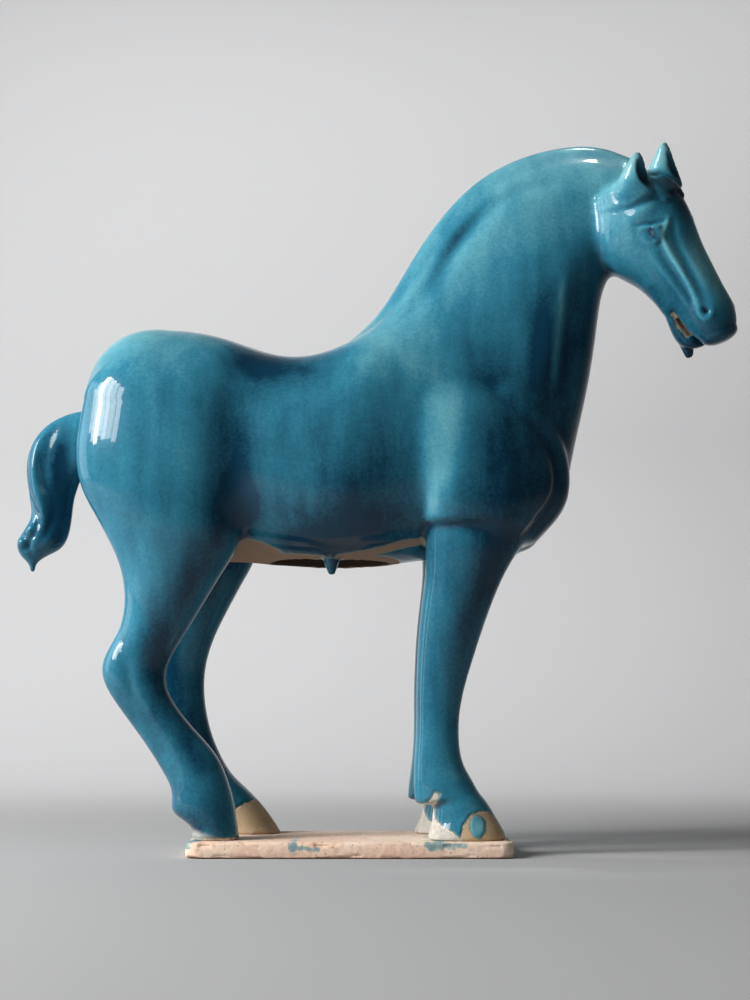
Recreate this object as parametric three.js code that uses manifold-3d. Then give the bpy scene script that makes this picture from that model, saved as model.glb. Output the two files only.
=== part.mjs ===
// A glazed pottery tomb figure: a standing horse with its head turned to its right, on a thin
// slab of bare clay. +X is the way the horse faces, +Y is its left side, +Z is up, and the
// origin is the middle of the slab's underside. Lengths are millimetres.
import * as THREE from "three";
import { mergeVertices } from "three/addons/utils/BufferGeometryUtils.js";
import Module from "manifold-3d";

const wasm = await Module();
wasm.setup();

// Driving sizes.
const figureHeight = 529; // from the soles to the top of the mane's arch
const slabThickness = 12;
const slabMargin = 5; // bare slab left around the outermost hooves
const slabCornerRadius = 9;
const slabEdgeRound = 2; // softened upper and lower edges
const restGap = 0.3; // slip joint between the soles and the slab
const ventLength = 92; // opening left under the belly for the firing
const ventWidth = 70;
const ventDepth = 26;

// The ribs below are drawn for a figure 529 high, and every number in them is a share of that.
const share = figureHeight / 529;

// A rib is one cross-section. It runs from outline point a to outline point b, both [x, z], is
// 2 * w wide around y, is wider towards a where lean is positive, and is squarer where full > 2.
const rib = (a, b, w, y = 0, lean = 0, full = 2) => ({ a, b, w, y, lean, full });

// The same rib seen from the other flank, moved along x where the two limbs differ.
const mirrored = (ribs, shift = () => 0) =>
  ribs.map((r) => ({
    ...r,
    a: [r.a[0] + shift(r.a[1]), r.a[1]],
    b: [r.b[0] + shift(r.b[1]), r.b[1]],
    y: -r.y,
  }));

// Closes a run of ribs with a rounded end, length long, by ribs that shrink as a quarter ellipse.
function roundedEnd(from, before, length) {
  const middle = (r) => [(r.a[0] + r.b[0]) / 2, (r.a[1] + r.b[1]) / 2];
  const [m, p] = [middle(from), middle(before)];
  const way = [m[0] - p[0], m[1] - p[1]];
  const reach = length / Math.hypot(...way);
  return [0.34, 0.66, 0.9].map((step) => {
    const out = Math.sin((step * Math.PI) / 2) * reach;
    const size = Math.cos((step * Math.PI) / 2);
    const move = (point) => point.map((v, i) => m[i] + (v - m[i]) * size + way[i] * out);
    return { ...from, a: move(from.a), b: move(from.b), w: from.w * size };
  });
}

// The ribs with both ends rounded by the given lengths, where 0 leaves a flat end.
function closed(ribs, startRound, endRound) {
  const start = startRound ? roundedEnd(ribs[0], ribs[1], startRound).reverse() : [];
  const end = endRound ? roundedEnd(ribs.at(-1), ribs.at(-2), endRound) : [];
  return [...start, ...ribs, ...end];
}

// Catmull-Rom interpolation of one number along a run of ribs.
function along(values, at) {
  const i = Math.min(Math.floor(at), values.length - 2);
  const f = at - i;
  const p1 = values[i];
  const p2 = values[i + 1];
  const p0 = values[i - 1] ?? p1;
  const p3 = values[i + 2] ?? p2;
  const curve = 2 * p0 - 5 * p1 + 4 * p2 - p3;
  const twist = 3 * (p1 - p2) + p3 - p0;
  return p1 + 0.5 * f * (p2 - p0 + f * (curve + f * twist));
}

// A closed skin over a run of ribs, with a ring of sides points on each of steps stations a gap.
function skin(ribs, { sides = 24, steps = 2 } = {}) {
  const read = (pick) => ribs.map(pick);
  const tracks = [
    read((r) => r.a[0]), read((r) => r.a[1]), read((r) => r.b[0]), read((r) => r.b[1]),
    read((r) => r.w), read((r) => r.y), read((r) => r.lean), read((r) => r.full),
  ];
  const rings = (ribs.length - 1) * steps + 1;
  const points = [];
  const faces = [];
  const put = (x, y, z) => points.push(x * share, y * share, z * share) / 3 - 1;
  for (let ring = 0; ring < rings; ring++) {
    const [ax, az, bx, bz, w, y, lean, full] = tracks.map((t) => along(t, ring / steps));
    const power = (v) => Math.sign(v) * Math.abs(v) ** (2 / full);
    for (let side = 0; side < sides; side++) {
      const turn = (2 * Math.PI * side) / sides;
      const s = power(Math.cos(turn));
      const across = power(Math.sin(turn)) * w * (1 + lean * s);
      put((ax + bx) / 2 + (s * (ax - bx)) / 2, y + across, (az + bz) / 2 + (s * (az - bz)) / 2);
    }
  }
  for (const [ring, first] of [[0, true], [rings - 1, false]]) {
    const [ax, az, bx, bz, , y] = tracks.map((t) => along(t, ring / steps));
    const pole = put((ax + bx) / 2, y, (az + bz) / 2);
    for (let side = 0; side < sides; side++) {
      const here = ring * sides + side;
      const next = ring * sides + ((side + 1) % sides);
      faces.push(...(first ? [pole, next, here] : [pole, here, next]));
    }
  }
  for (let ring = 0; ring + 1 < rings; ring++)
    for (let side = 0; side < sides; side++) {
      const next = (side + 1) % sides;
      const [p, q, r, s] = [ring * sides + side, ring * sides + next,
        (ring + 1) * sides + next, (ring + 1) * sides + side];
      faces.push(p, q, r, p, r, s);
    }
  return new THREE.BufferGeometry()
    .setAttribute("position", new THREE.Float32BufferAttribute(points, 3))
    .setIndex(faces);
}

// A geometry as a manifold solid, turned the right way out.
function solid(geometry, placing) {
  const bare = geometry.clone();
  bare.deleteAttribute("normal");
  bare.deleteAttribute("uv");
  if (placing) bare.applyMatrix4(placing);
  const merged = mergeVertices(bare, 1e-3);
  const vertProperties = merged.attributes.position.array;
  const triVerts = new Uint32Array(merged.index.array);
  const make = () => new wasm.Manifold(new wasm.Mesh({ numProp: 3, vertProperties, triVerts }));
  const made = make();
  if (made.volume() > 0) return made;
  for (let i = 0; i < triVerts.length; i += 3)
    [triVerts[i], triVerts[i + 1]] = [triVerts[i + 1], triVerts[i]];
  return make();
}

// A manifold solid back as a flat-shaded geometry.
function geometryOf(made) {
  const mesh = made.getMesh();
  const position = new Float32Array(mesh.numVert * 3);
  for (let i = 0; i < mesh.numVert; i++)
    position.set(mesh.vertProperties.subarray(i * mesh.numProp, i * mesh.numProp + 3), i * 3);
  const geometry = new THREE.BufferGeometry()
    .setAttribute("position", new THREE.BufferAttribute(position, 3))
    .setIndex(new THREE.BufferAttribute(mesh.triVerts, 1));
  geometry.computeVertexNormals();
  return geometry;
}

// The trunk and neck in one run, from the round buttocks over the hollow back, then fanning up
// through the arched neck to the poll, with ribs from the crest down to the belly or throat.
const trunk = closed([
  rib([-205, 322], [-203, 262], 40, 0, 0, 2.3),
  rib([-197, 352], [-189, 238], 60, 0, 0, 2.2),
  rib([-175, 372], [-168, 218], 73, 0, 0, 2.1),
  rib([-142, 382], [-138, 208], 79, 0, 0, 2.1),
  rib([-106, 379], [-106, 204], 78, 0, 0, 2.2),
  rib([-76, 368], [-76, 205], 71, 0, 0, 2.2),
  rib([-46, 360], [-46, 200], 74, 0, -0.06, 2.3),
  rib([-18, 365], [-16, 197], 78, 0, -0.08, 2.4),
  rib([6, 377], [16, 200], 78, 0, -0.1, 2.3),
  rib([21, 389], [50, 206], 73, 0, -0.14, 2.2),
  rib([32, 404], [84, 208], 67, 0, -0.18, 2.1),
  rib([42, 421], [116, 211], 61, 0, -0.22, 2.1),
  rib([53, 439], [146, 225], 56, 0, -0.25, 2.1),
  rib([66, 459], [161, 252], 53, 0, -0.28, 2.1),
  rib([81, 478], [168, 284], 49, -1, -0.26, 2.1),
  rib([97, 494], [176, 316], 45, -2, -0.22, 2.1),
  rib([116, 506], [183, 348], 41, -4, -0.17, 2.1),
  rib([138, 514], [188, 380], 37, -4, -0.14, 2.1),
  rib([162, 519], [192, 406], 33, -6, -0.1, 2.1),
  rib([187, 519], [199, 426], 29, -8, -0.05, 2.1),
  rib([208, 513], [213, 436], 25, -12, 0, 2.1),
], 6, 12);

// The clipped mane, a soft roll along the crest.
const mane = closed([
  rib([6, 380], [14, 357], 13),
  rib([24, 399], [36, 377], 12.5),
  rib([39, 425], [52, 406], 12),
  rib([55, 452], [68, 434], 11.5),
  rib([73, 476], [85, 458], 11, -1),
  rib([94, 498], [104, 480], 10.5, -2),
  rib([120, 515], [126, 496], 10, -3),
  rib([149, 525], [152, 505], 9.5, -4),
  rib([176, 529], [176, 508], 9, -6),
  rib([199, 526], [196, 506], 8.5, -9),
  rib([216, 517], [208, 500], 7.5, -12),
], 8, 6);

// The rounded upper arm, which overhangs the top of the foreleg at a level crease.
const upperArm = closed([
  rib([52, 322], [106, 322], 17, -46),
  rib([44, 298], [133, 298], 26, -49),
  rib([42, 271], [149, 271], 29, -49),
  rib([44, 248], [148, 248], 29, -48),
  rib([49, 231], [134, 231], 27, -46),
], 14, 7);

// One of the two swellings of the breast, proud of the neck above and of the arm beside it.
const pectoral = closed([
  rib([106, 320], [130, 324], 10, -43),
  rib([110, 300], [149, 306], 16, -37),
  rib([106, 274], [162, 280], 22, -28),
  rib([100, 248], [163, 252], 25, -23),
  rib([96, 230], [154, 234], 25, -21),
  rib([98, 218], [142, 221], 22, -20),
], 10, 7);

// The near foreleg, elbow to fetlock, ribs from back to front.
const foreleg = closed([
  rib([56, 250], [128, 252], 24, -45),
  rib([55, 214], [124, 213], 23, -44),
  rib([55, 192], [113, 192], 22, -41),
  rib([51, 160], [100, 160], 19.5, -39),
  rib([49, 130], [90, 130], 17, -38),
  rib([48, 103], [82, 103], 15, -38),
  rib([48, 78], [79, 79], 14.5, -38),
  rib([46.5, 55], [81, 56], 15.5, -38),
  rib([46, 38], [88, 43], 17.5, -38),
  rib([47, 27], [92, 33], 18, -38),
], 22, 4);

// Its pastern and hoof, which meet the slab on a flat sole.
const forefoot = closed([
  rib([60, 44], [82, 44], 14, -38),
  rib([60, 32], [91, 35], 16.5, -38),
  rib([60, 22], [99, 26], 18.5, -39),
  rib([59, 12], [106, 14], 20.5, -39),
  rib([57, 5], [111, 6], 22, -39, 0, 2.3),
  rib([56, 0], [112, 0], 22.5, -39, 0, 2.3),
], 5, 0);

// The near hindleg, thigh to fetlock, and its foot.
const hindleg = closed([
  rib([-194, 318], [-96, 306], 17, -52),
  rib([-202, 272], [-78, 254], 26, -50),
  rib([-188, 236], [-79, 219], 28, -47),
  rib([-172, 205], [-92, 196], 25, -43),
  rib([-166, 178], [-107, 171], 21, -40),
  rib([-169, 150], [-122, 146], 18, -38),
  rib([-183, 122], [-135, 121], 16.5, -38),
  rib([-167, 93], [-130, 100], 16, -38),
  rib([-150, 70], [-113, 78], 15.5, -38),
  rib([-137, 50], [-97, 60], 16.5, -38),
  rib([-130, 35], [-89, 41], 19.5, -38),
  rib([-127, 22], [-84, 24], 20.5, -38),
  rib([-117, 9], [-82, 9], 19.5, -38),
  rib([-113, 0], [-80, 0], 19.5, -38, 0, 2.2),
], 22, 0);

// The far hindleg stands a little further forward, with its hoof showing.
const farHindleg = closed([
  rib([-194, 318], [-96, 306], 17, 52),
  rib([-200, 272], [-76, 254], 26, 50),
  rib([-183, 236], [-74, 218], 28, 47),
  rib([-166, 205], [-84, 196], 25, 43),
  rib([-157, 178], [-97, 170], 21, 40),
  rib([-155, 151], [-108, 146], 18, 38),
  rib([-163, 124], [-114, 121], 16.5, 38),
  rib([-154, 98], [-113, 97], 16, 38),
  rib([-146, 75], [-108, 75], 15.5, 38),
  rib([-139, 55], [-100, 57], 16.5, 38),
  rib([-133, 40], [-91, 43], 19, 38),
  rib([-122, 26], [-77, 30], 19.5, 38),
  rib([-110, 12], [-64, 15], 20.5, 38),
  rib([-104, 0], [-54, 0], 22, 38, 0, 2.3),
], 22, 0);

// The docked tail, bound in a club with a knotted tip.
const tail = closed([
  rib([-192, 322], [-190, 276], 12),
  rib([-214, 319], [-204, 270], 13),
  rib([-236, 307], [-208, 264], 15),
  rib([-248, 284], [-210, 258], 16),
  rib([-247, 258], [-212, 248], 15.5),
  rib([-245, 236], [-215, 230], 14.5),
  rib([-254, 219], [-221, 214], 14),
  rib([-249, 209], [-231, 206], 8),
  rib([-244, 202], [-238, 202], 3.5),
], 6, 3);

// The head is drawn in its own frame: x runs from the poll down the face to the muzzle, z is
// out of the forehead and y to its left. It hangs nose down and its face is turned to its right.
const faceSwing = THREE.MathUtils.degToRad(4);
const facePitch = THREE.MathUtils.degToRad(64);
const faceTurn = THREE.MathUtils.degToRad(50);
const poll = new THREE.Vector3(236.5, -62, 495);
const headPlacing = new THREE.Matrix4()
  .makeTranslation(poll.clone().multiplyScalar(share))
  .multiply(new THREE.Matrix4().makeRotationZ(faceSwing))
  .multiply(new THREE.Matrix4().makeRotationY(facePitch))
  .multiply(new THREE.Matrix4().makeRotationX(faceTurn));

const skull = closed([
  rib([1, -15], [1, -66], 28, 0, 0, 2.1),
  rib([11, -9], [11, -75], 31, 0, -0.05, 2.1),
  rib([23, -5], [23, -82], 33.5, 0, -0.12, 2.1),
  rib([35, -4.5], [36, -87], 34, 0, -0.15, 2.1),
  rib([48, -6], [49, -80], 32, 0, -0.12, 2.1),
  rib([62, -8], [63, -70], 27.5, 0, -0.05, 2.1),
  rib([77, -8], [78, -61], 24, 0, 0, 2.1),
  rib([89, -8], [90, -55], 22, 0, 0, 2.1),
  rib([100, -8], [100, -50], 21, 0, 0, 2.1),
  rib([110, -8], [110, -46], 21, 0, 0, 2.2),
  rib([120, -10], [119, -41], 20.5, 0, 0, 2.2),
  rib([129, -14], [128, -37], 18.5, 0, 0, 2.2),
  rib([136, -19], [135, -34], 14, 0, 0, 2.1),
], 8, 4);

const lowerJaw = closed([
  rib([82, -44], [80, -55], 12.5),
  rib([97, -46], [96, -56], 12.5),
  rib([108, -49], [108, -57.5], 12),
  rib([118, -50], [118, -58.5], 11),
  rib([125, -49], [126, -58], 8.5),
], 4, 3);

const chinTuft = closed([
  rib([116, -52], [114, -59], 6),
  rib([125, -52], [124, -59], 4.5),
  rib([133, -55], [132, -60], 2.5),
], 2, 3);

// One ear, from its root to its pointed tip, and the hollow on its forward side.
const ear = (flank) => closed([
  rib([10, -36], [13, -8], 9, 21 * flank),
  rib([2, -33], [5, -7], 10.5, 22 * flank),
  rib([-7, -25], [-4, -3], 9, 21 * flank),
  rib([-15, -12], [-14, -0.5], 5, 18 * flank),
], 4, 4);
const earHollow = (flank) => closed([
  rib([3, -20], [9, 0], 4, 27 * flank),
  rib([-4, -17], [0, 1], 5, 26 * flank),
  rib([-11, -10], [-9, 3], 3.5, 23 * flank),
], 3, 3);

// The forelock, parted in the middle and hanging over the brow.
const forelock = (flank) => closed([
  rib([-7, -17], [-2, -34], 10, 8 * flank),
  rib([0, -8], [6, -26], 11, 8 * flank),
  rib([7, -4], [12, -16], 10, 8 * flank),
  rib([14, -3.5], [16, -12], 8, 9 * flank),
], 3, 4);

// A rounded swelling or hollow on the head, from its middle and its three radii.
const pebble = (x, y, z, rx, ry, rz) =>
  new THREE.SphereGeometry(share, 10, 6).scale(rx, ry, rz).translate(x * share, y * share, z * share);

// The sharp ridge that runs down the side of the nose from the eye to the nostril.
const noseRidge = (flank) => closed([
  rib([45, -14], [45, -21], 3.5, 20 * flank),
  rib([60, -14.5], [60, -21], 3.2, 19 * flank),
  rib([78, -14], [78, -20], 3, 17 * flank),
  rib([95, -14], [95, -20], 3, 16 * flank),
  rib([108, -14], [108, -20], 3.2, 16 * flank),
], 4, 3);

const flanks = [-1, 1];
const fine = { sides: 12, steps: 1 };
const small = { sides: 8, steps: 1 };

function head() {
  const joined = [
    solid(skin(skull, { sides: 22, steps: 1 }), headPlacing),
    solid(skin(lowerJaw, fine), headPlacing),
    solid(skin(chinTuft, small), headPlacing),
    ...flanks.map((flank) => solid(skin(noseRidge(flank), small), headPlacing)),
    ...flanks.map((flank) => solid(skin(forelock(flank), fine), headPlacing)),
    ...flanks.map((flank) => solid(pebble(40, 25 * flank, -21, 8, 5.5, 7), headPlacing)),
  ].reduce((whole, piece) => whole.add(piece));
  const ears = flanks.map((flank) =>
    solid(skin(ear(flank), fine), headPlacing)
      .subtract(solid(skin(earHollow(flank), small), headPlacing)));
  const nostrils = flanks.map((flank) =>
    solid(pebble(111, 20 * flank, -17, 4.5, 4, 3), headPlacing));
  const whole = nostrils.reduce((rest, nostril) => rest.subtract(nostril), joined);
  return ears.reduce((sum, piece) => sum.add(piece), whole);
}

// The opening under the belly, and the run of glaze that hangs from its rim.
function vent() {
  const pocket = new THREE.SphereGeometry(1, 22, 8)
    .scale(ventLength / 2, ventWidth / 2, ventDepth)
    .translate(-16 * share, 0, 196 * share);
  return solid(pocket);
}

const glazeDrop = closed([
  rib([-21, 206], [-7, 206], 6, -38),
  rib([-19, 199], [-9, 199], 4.5, -38),
  rib([-17, 193], [-11, 193], 3, -38),
], 2, 2);

function horse() {
  const farShift = (z) => -0.16 * Math.max(0, 50 - z);
  const limbs = [foreleg, forefoot, mirrored(foreleg, farShift), mirrored(forefoot, farShift),
    hindleg, farHindleg].map((ribs) => solid(skin(ribs, fine)));
  const swellings = [upperArm, mirrored(upperArm), pectoral, mirrored(pectoral)]
    .map((ribs) => solid(skin(ribs, fine)));
  const body = [
    solid(skin(trunk, { sides: 24, steps: 2 })),
    solid(skin(mane, fine)),
    solid(skin(tail, { sides: 14, steps: 1 })),
    solid(skin(glazeDrop, small)),
    ...swellings,
    ...limbs,
    head(),
  ].reduce((whole, piece) => whole.add(piece));
  return geometryOf(body.subtract(vent()));
}

// The slab reaches past the hooves by its margin on every side.
function baseSlab() {
  const soles = [hindleg, farHindleg, forefoot].map((ribs) => ribs.at(-1));
  const back = Math.min(...soles.map((r) => r.a[0])) * share - slabMargin;
  const front = Math.max(...soles.map((r) => r.b[0])) * share + slabMargin;
  const side = Math.max(...soles.map((r) => Math.abs(r.y) + r.w)) * share + slabMargin;
  const outline = new THREE.Shape();
  const r = slabCornerRadius;
  const inner = slabEdgeRound;
  const [x0, x1, y1] = [back + inner, front - inner, side - inner];
  outline.moveTo(x0 + r, -y1).lineTo(x1 - r, -y1);
  outline.absarc(x1 - r, -y1 + r, r, -Math.PI / 2, 0);
  outline.absarc(x1 - r, y1 - r, r, 0, Math.PI / 2);
  outline.absarc(x0 + r, y1 - r, r, Math.PI / 2, Math.PI);
  outline.absarc(x0 + r, -y1 + r, r, Math.PI, 1.5 * Math.PI);
  return new THREE.ExtrudeGeometry(outline, {
    depth: slabThickness - 2 * slabEdgeRound,
    bevelThickness: slabEdgeRound,
    bevelSize: slabEdgeRound,
    bevelSegments: 2,
    curveSegments: 3,
  }).translate(-(back + front) / 2, 0, slabEdgeRound);
}

const turquoiseGlaze = new THREE.MeshStandardMaterial({ color: 0x2f7f96, roughness: 0.12 });
const bareClay = new THREE.MeshStandardMaterial({ color: 0xc9ab8f, roughness: 0.9 });

const slab = new THREE.Mesh(baseSlab(), bareClay);
slab.name = "base_slab";

const figure = new THREE.Mesh(horse(), turquoiseGlaze);
figure.name = "horse";
figure.position.z = slabThickness + restGap;

const tombHorse = new THREE.Group();
tombHorse.add(slab, figure);

export default tombHorse;
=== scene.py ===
"""A standing horse of turquoise glazed pottery on a slab of bare clay.

+X is the way the horse faces, +Y is its left side and +Z is up. The tables are in millimetres,
with z above the soles. Blender's own lengths are metres.
"""

import math

import bpy
import numpy as np
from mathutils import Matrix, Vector


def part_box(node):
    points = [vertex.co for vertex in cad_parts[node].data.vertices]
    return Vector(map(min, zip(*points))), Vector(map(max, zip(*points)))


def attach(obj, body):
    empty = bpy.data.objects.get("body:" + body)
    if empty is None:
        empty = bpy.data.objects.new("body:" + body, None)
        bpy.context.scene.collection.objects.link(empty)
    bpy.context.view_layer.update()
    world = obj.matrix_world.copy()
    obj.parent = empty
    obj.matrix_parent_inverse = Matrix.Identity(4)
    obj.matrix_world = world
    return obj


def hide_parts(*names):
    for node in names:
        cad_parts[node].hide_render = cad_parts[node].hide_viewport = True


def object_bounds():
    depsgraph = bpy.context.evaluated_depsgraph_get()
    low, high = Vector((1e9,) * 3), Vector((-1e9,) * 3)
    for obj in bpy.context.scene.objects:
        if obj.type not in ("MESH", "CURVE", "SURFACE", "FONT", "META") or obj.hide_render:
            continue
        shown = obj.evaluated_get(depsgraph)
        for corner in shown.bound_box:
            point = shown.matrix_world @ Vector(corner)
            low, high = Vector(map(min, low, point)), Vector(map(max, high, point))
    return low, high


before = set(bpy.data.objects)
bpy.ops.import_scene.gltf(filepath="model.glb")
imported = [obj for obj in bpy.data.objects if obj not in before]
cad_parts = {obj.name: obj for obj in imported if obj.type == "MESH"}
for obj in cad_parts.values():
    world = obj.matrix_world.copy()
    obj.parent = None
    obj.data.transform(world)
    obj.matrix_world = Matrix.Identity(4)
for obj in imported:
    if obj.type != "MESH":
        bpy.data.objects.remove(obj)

bl_info = {
    "name": "Glazed Tomb Horse",
    "version": (1, 0, 0),
    "blender": (4, 5, 0),
    "location": "3D View > Sidebar > Tomb Horse",
    "description": "Makes a glazed pottery horse, its clay slab and a plain studio",
    "category": "Add Mesh",
}

CAD_LOW, CAD_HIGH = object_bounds()
SOLE_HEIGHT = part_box("horse")[0].z
MM = 0.001
SOLES = np.array([0, 0, SOLE_HEIGHT / MM])
ROOT = "root"

# The two flanks as signs of y: the near one on the horse's right, and the far one.
BOTH = (-1, 1)

# Ribs: outline point a (x, z), outline point b (x, z) and half width. A rib may go on with its
# middle's y, its lean towards a and how square its section is, which are else 0, 0 and 2.
TRUNK = [
    (-140, 382, -138, 208, 76.5, 0, 0, 2.1),
    (-106, 379, -106, 204, 77, 0, 0, 2.15),
    (-76, 368, -76, 205, 71, 0, 0, 2.2),
    (-46, 360, -46, 200, 74, 0, -0.06, 2.3),
    (-18, 365, -16, 197, 78, 0, -0.08, 2.4),
    (6, 377, 16, 200, 78, 0, -0.1, 2.3),
    (21, 389, 50, 206, 73, 0, -0.14, 2.2),
    (32, 404, 84, 208, 67, 0, -0.16, 2.1),
    (42, 421, 116, 211, 60, 0, -0.16, 2.1),
    (53, 439, 146, 225, 55, 0, -0.16, 2.1),
    (66, 459, 161, 252, 51, 0, -0.18, 2.1),
    (81, 478, 168, 284, 47, -1, -0.18, 2.1),
    (97, 494, 176, 316, 44, -2, -0.18, 2.1),
    (116, 506, 183, 348, 41, -4, -0.16, 2.1),
    (138, 514, 188, 380, 37, -4, -0.14, 2.1),
    (162, 519, 192, 406, 33, -6, -0.1, 2.1),
    (187, 519, 199, 426, 29, -8, -0.05, 2.1),
    (208, 513, 213, 436, 25, -12, 0, 2.1),
]
MANE = [
    (6, 380, 14, 357, 13),
    (24, 399, 36, 377, 12.5),
    (39, 425, 52, 406, 12),
    (55, 452, 68, 434, 11.5),
    (73, 476, 85, 458, 11, -1),
    (94, 498, 104, 480, 10.5, -2),
    (120, 515, 126, 496, 10, -3),
    (149, 525, 152, 505, 9.5, -4),
    (176, 529, 176, 508, 9, -6),
    (199, 526, 196, 506, 8.5, -9),
    (216, 517, 208, 500, 7.5, -12),
]
UPPER_ARM = [
    (64, 350, 86, 350, 3, -38, 0.2),
    (53, 325, 113, 323, 15, -44, 0.25),
    (48, 298, 133, 298, 23.5, -47, 0.3),
    (46, 271, 148, 271, 28, -47, 0.32),
    (47, 248, 147, 248, 29, -47, 0.28),
    (50, 231, 134, 231, 27.5, -46, 0.15),
]
PECTORAL = [
    (106, 320, 130, 324, 10, -43),
    (110, 300, 149, 306, 16, -37),
    (106, 274, 162, 280, 22, -28),
    (100, 248, 163, 252, 25, -23),
    (96, 230, 154, 234, 25, -21),
    (98, 218, 142, 221, 22, -20),
]
FORELEG = [
    (56, 250, 128, 252, 24, -45),
    (55, 214, 124, 213, 23, -44),
    (55, 192, 113, 192, 22, -41),
    (51, 160, 100, 160, 19.5, -39),
    (49, 130, 90, 130, 17, -38),
    (48, 103, 82, 103, 15, -38),
    (48, 78, 79, 79, 14.5, -38),
    (46.5, 55, 81, 56, 15.5, -38),
    (46, 38, 88, 43, 17.5, -38),
    (47, 27, 92, 33, 18, -38),
]
FOREFOOT = [
    (60, 44, 82, 44, 14, -38),
    (60, 32, 91, 35, 16.5, -38),
    (60, 22, 99, 26, 18.5, -39),
    (59, 12, 106, 14, 20.5, -39),
    (57, 5, 111, 6, 22, -39, 0, 2.3),
    (56, 0, 112, 0, 22.5, -39, 0, 2.3),
]
HINDLEG = [
    (-194, 318, -96, 306, 17, -52),
    (-202, 272, -78, 254, 26, -50),
    (-188, 236, -79, 219, 28, -47),
    (-172, 205, -92, 196, 25, -43),
    (-166, 178, -107, 171, 21, -40),
    (-169, 150, -122, 146, 18, -38),
    (-183, 122, -135, 121, 16.5, -38),
    (-167, 93, -130, 100, 16, -38),
    (-150, 70, -113, 78, 15.5, -38),
    (-137, 50, -97, 60, 16.5, -38),
    (-129.5, 36, -89, 42, 19, -38),
    (-129, 25.5, -84.5, 28, 20.5, -38),
    (-126.5, 17.5, -82.5, 17, 20.5, -38),
    (-114, 8.5, -81, 8, 19, -38),
    (-114.5, 0, -80, 0, 18.5, -38, 0, 2.2),
]
FAR_HINDLEG = [
    (-194, 318, -96, 306, 17, 52),
    (-200, 272, -76, 254, 26, 50),
    (-183, 236, -74, 218, 28, 47),
    (-166, 205, -84, 196, 25, 43),
    (-157, 178, -97, 170, 21, 40),
    (-155, 151, -108, 146, 18, 38),
    (-163, 124, -114, 121, 16.5, 38),
    (-154, 98, -113, 97, 16, 38),
    (-146, 75, -108, 75, 15.5, 38),
    (-139, 55, -100, 57, 16.5, 38),
    (-133, 40, -91, 43, 19, 38),
    (-122, 26, -77, 30, 19.5, 38),
    (-110, 12, -64, 15, 20.5, 38),
    (-104, 0, -54, 0, 22, 38, 0, 2.3),
]
TAIL = [
    (-192, 322, -190, 276, 12),
    (-214, 319, -204, 270, 13),
    (-236, 307, -208, 264, 15),
    (-248, 284, -210, 258, 16),
    (-246, 258, -212, 250, 15.5),
    (-243.5, 240, -213.5, 234, 14),
    (-248.5, 229, -216, 222.5, 13.5),
    (-254, 218.5, -221.5, 214, 12.5),
    (-251.5, 209.5, -231, 209, 8.5),
    (-246, 204, -238, 204, 4.2),
    (-243.8, 199.5, -240, 199.5, 2.6),
]
GLAZE_DROP = [
    (-21, 206, -7, 206, 6, -38),
    (-19, 199, -9, 199, 4.5, -38),
    (-17, 193, -11, 193, 3, -38),
]
# The oval opening under the belly as an ellipsoid: middle and radii.
OPENING = ((-16, 0, 196), (46, 35, 26))

# The head's own frame: x runs from the poll to the muzzle, z out of the forehead, y to its left.
POLL = (236.5, -62, 495)
FACE_TURNS = (math.radians(4), math.radians(64), math.radians(50))
SKULL = [
    (1, -15, 1, -66, 28, 0, 0, 2.1),
    (11, -9, 11, -75, 31, 0, -0.05, 2.1),
    (23, -5, 23, -82, 33.5, 0, -0.12, 2.1),
    (35, -4.5, 36, -87, 34, 0, -0.15, 2.1),
    (48, -6, 49, -80, 32, 0, -0.12, 2.1),
    (62, -8, 63, -70, 27.5, 0, -0.05, 2.1),
    (77, -8, 78, -61, 24, 0, 0, 2.1),
    (89, -8, 90, -55, 22, 0, 0, 2.1),
    (100, -8, 100, -50, 21, 0, 0, 2.1),
    (110, -8, 110, -46, 21, 0, 0, 2.2),
    (120, -10, 119, -43, 20.5, 0, 0, 2.2),
    (127.6, -14, 126.6, -39, 18.4, 0, 0, 2.2),
]
LOWER_JAW = [
    (76, -40, 76, -57, 17),
    (90, -40, 90, -55.5, 17),
    (101, -40, 101, -56.5, 17),
    (110, -40, 111, -58.5, 16),
    (118, -39, 119, -58.5, 15),
    (124, -38.5, 125, -55.5, 13.5),
    (127.5, -40, 128, -50.5, 10),
]
MOUTH = [
    (102, -42.8, 102.5, -44.4, 4, 15, 0, 2.4),
    (108, -41.8, 109, -45, 5, 14.5, 0, 2.4),
    (115, -40.2, 116, -44.2, 5.5, 14, 0, 2.4),
    (121, -38.8, 122.5, -43, 6.5, 13, 0, 2.4),
    (126.5, -37.4, 128, -41.6, 11, 9, 0, 2.4),
    (133, -35.5, 135, -40, 14, 8, 0, 2.4),
]
CHIN_TUFT = [
    (118, -49, 116, -59.5, 7),
    (125, -51, 124, -60.3, 6.2),
    (131, -54.6, 130.5, -60.3, 4.4),
]
EAR = [
    (12, -38, 13, -9, 9, 21),
    (3, -36.5, 4.5, -8, 10.5, 22),
    (-4.5, -31.5, -4.5, -6, 10, 21.5),
    (-9.5, -24.5, -11, -4.5, 7.6, 21),
    (-12.6, -17.5, -16, -4.5, 4.4, 20.8),
]
EAR_HOLLOW = [
    (9, -10.5, 10, 4, 4.2, 21.4),
    (3, -13.2, 4, 6, 6.6, 22),
    (-4.5, -12.2, -5, 6, 6.6, 21.8),
    (-8.5, -9.8, -10, 4, 5.0, 21.2),
]
FORELOCK = [
    (-6, -20, -1, -36, 9, 7.5),
    (1, -12.5, 7, -29, 10, 8),
    (8, -8.2, 13, -20, 9.5, 8.5),
    (15, -6.2, 18, -15.5, 8, 9.5),
    (20, -5.8, 22, -11.5, 5.5, 10),
]
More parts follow.
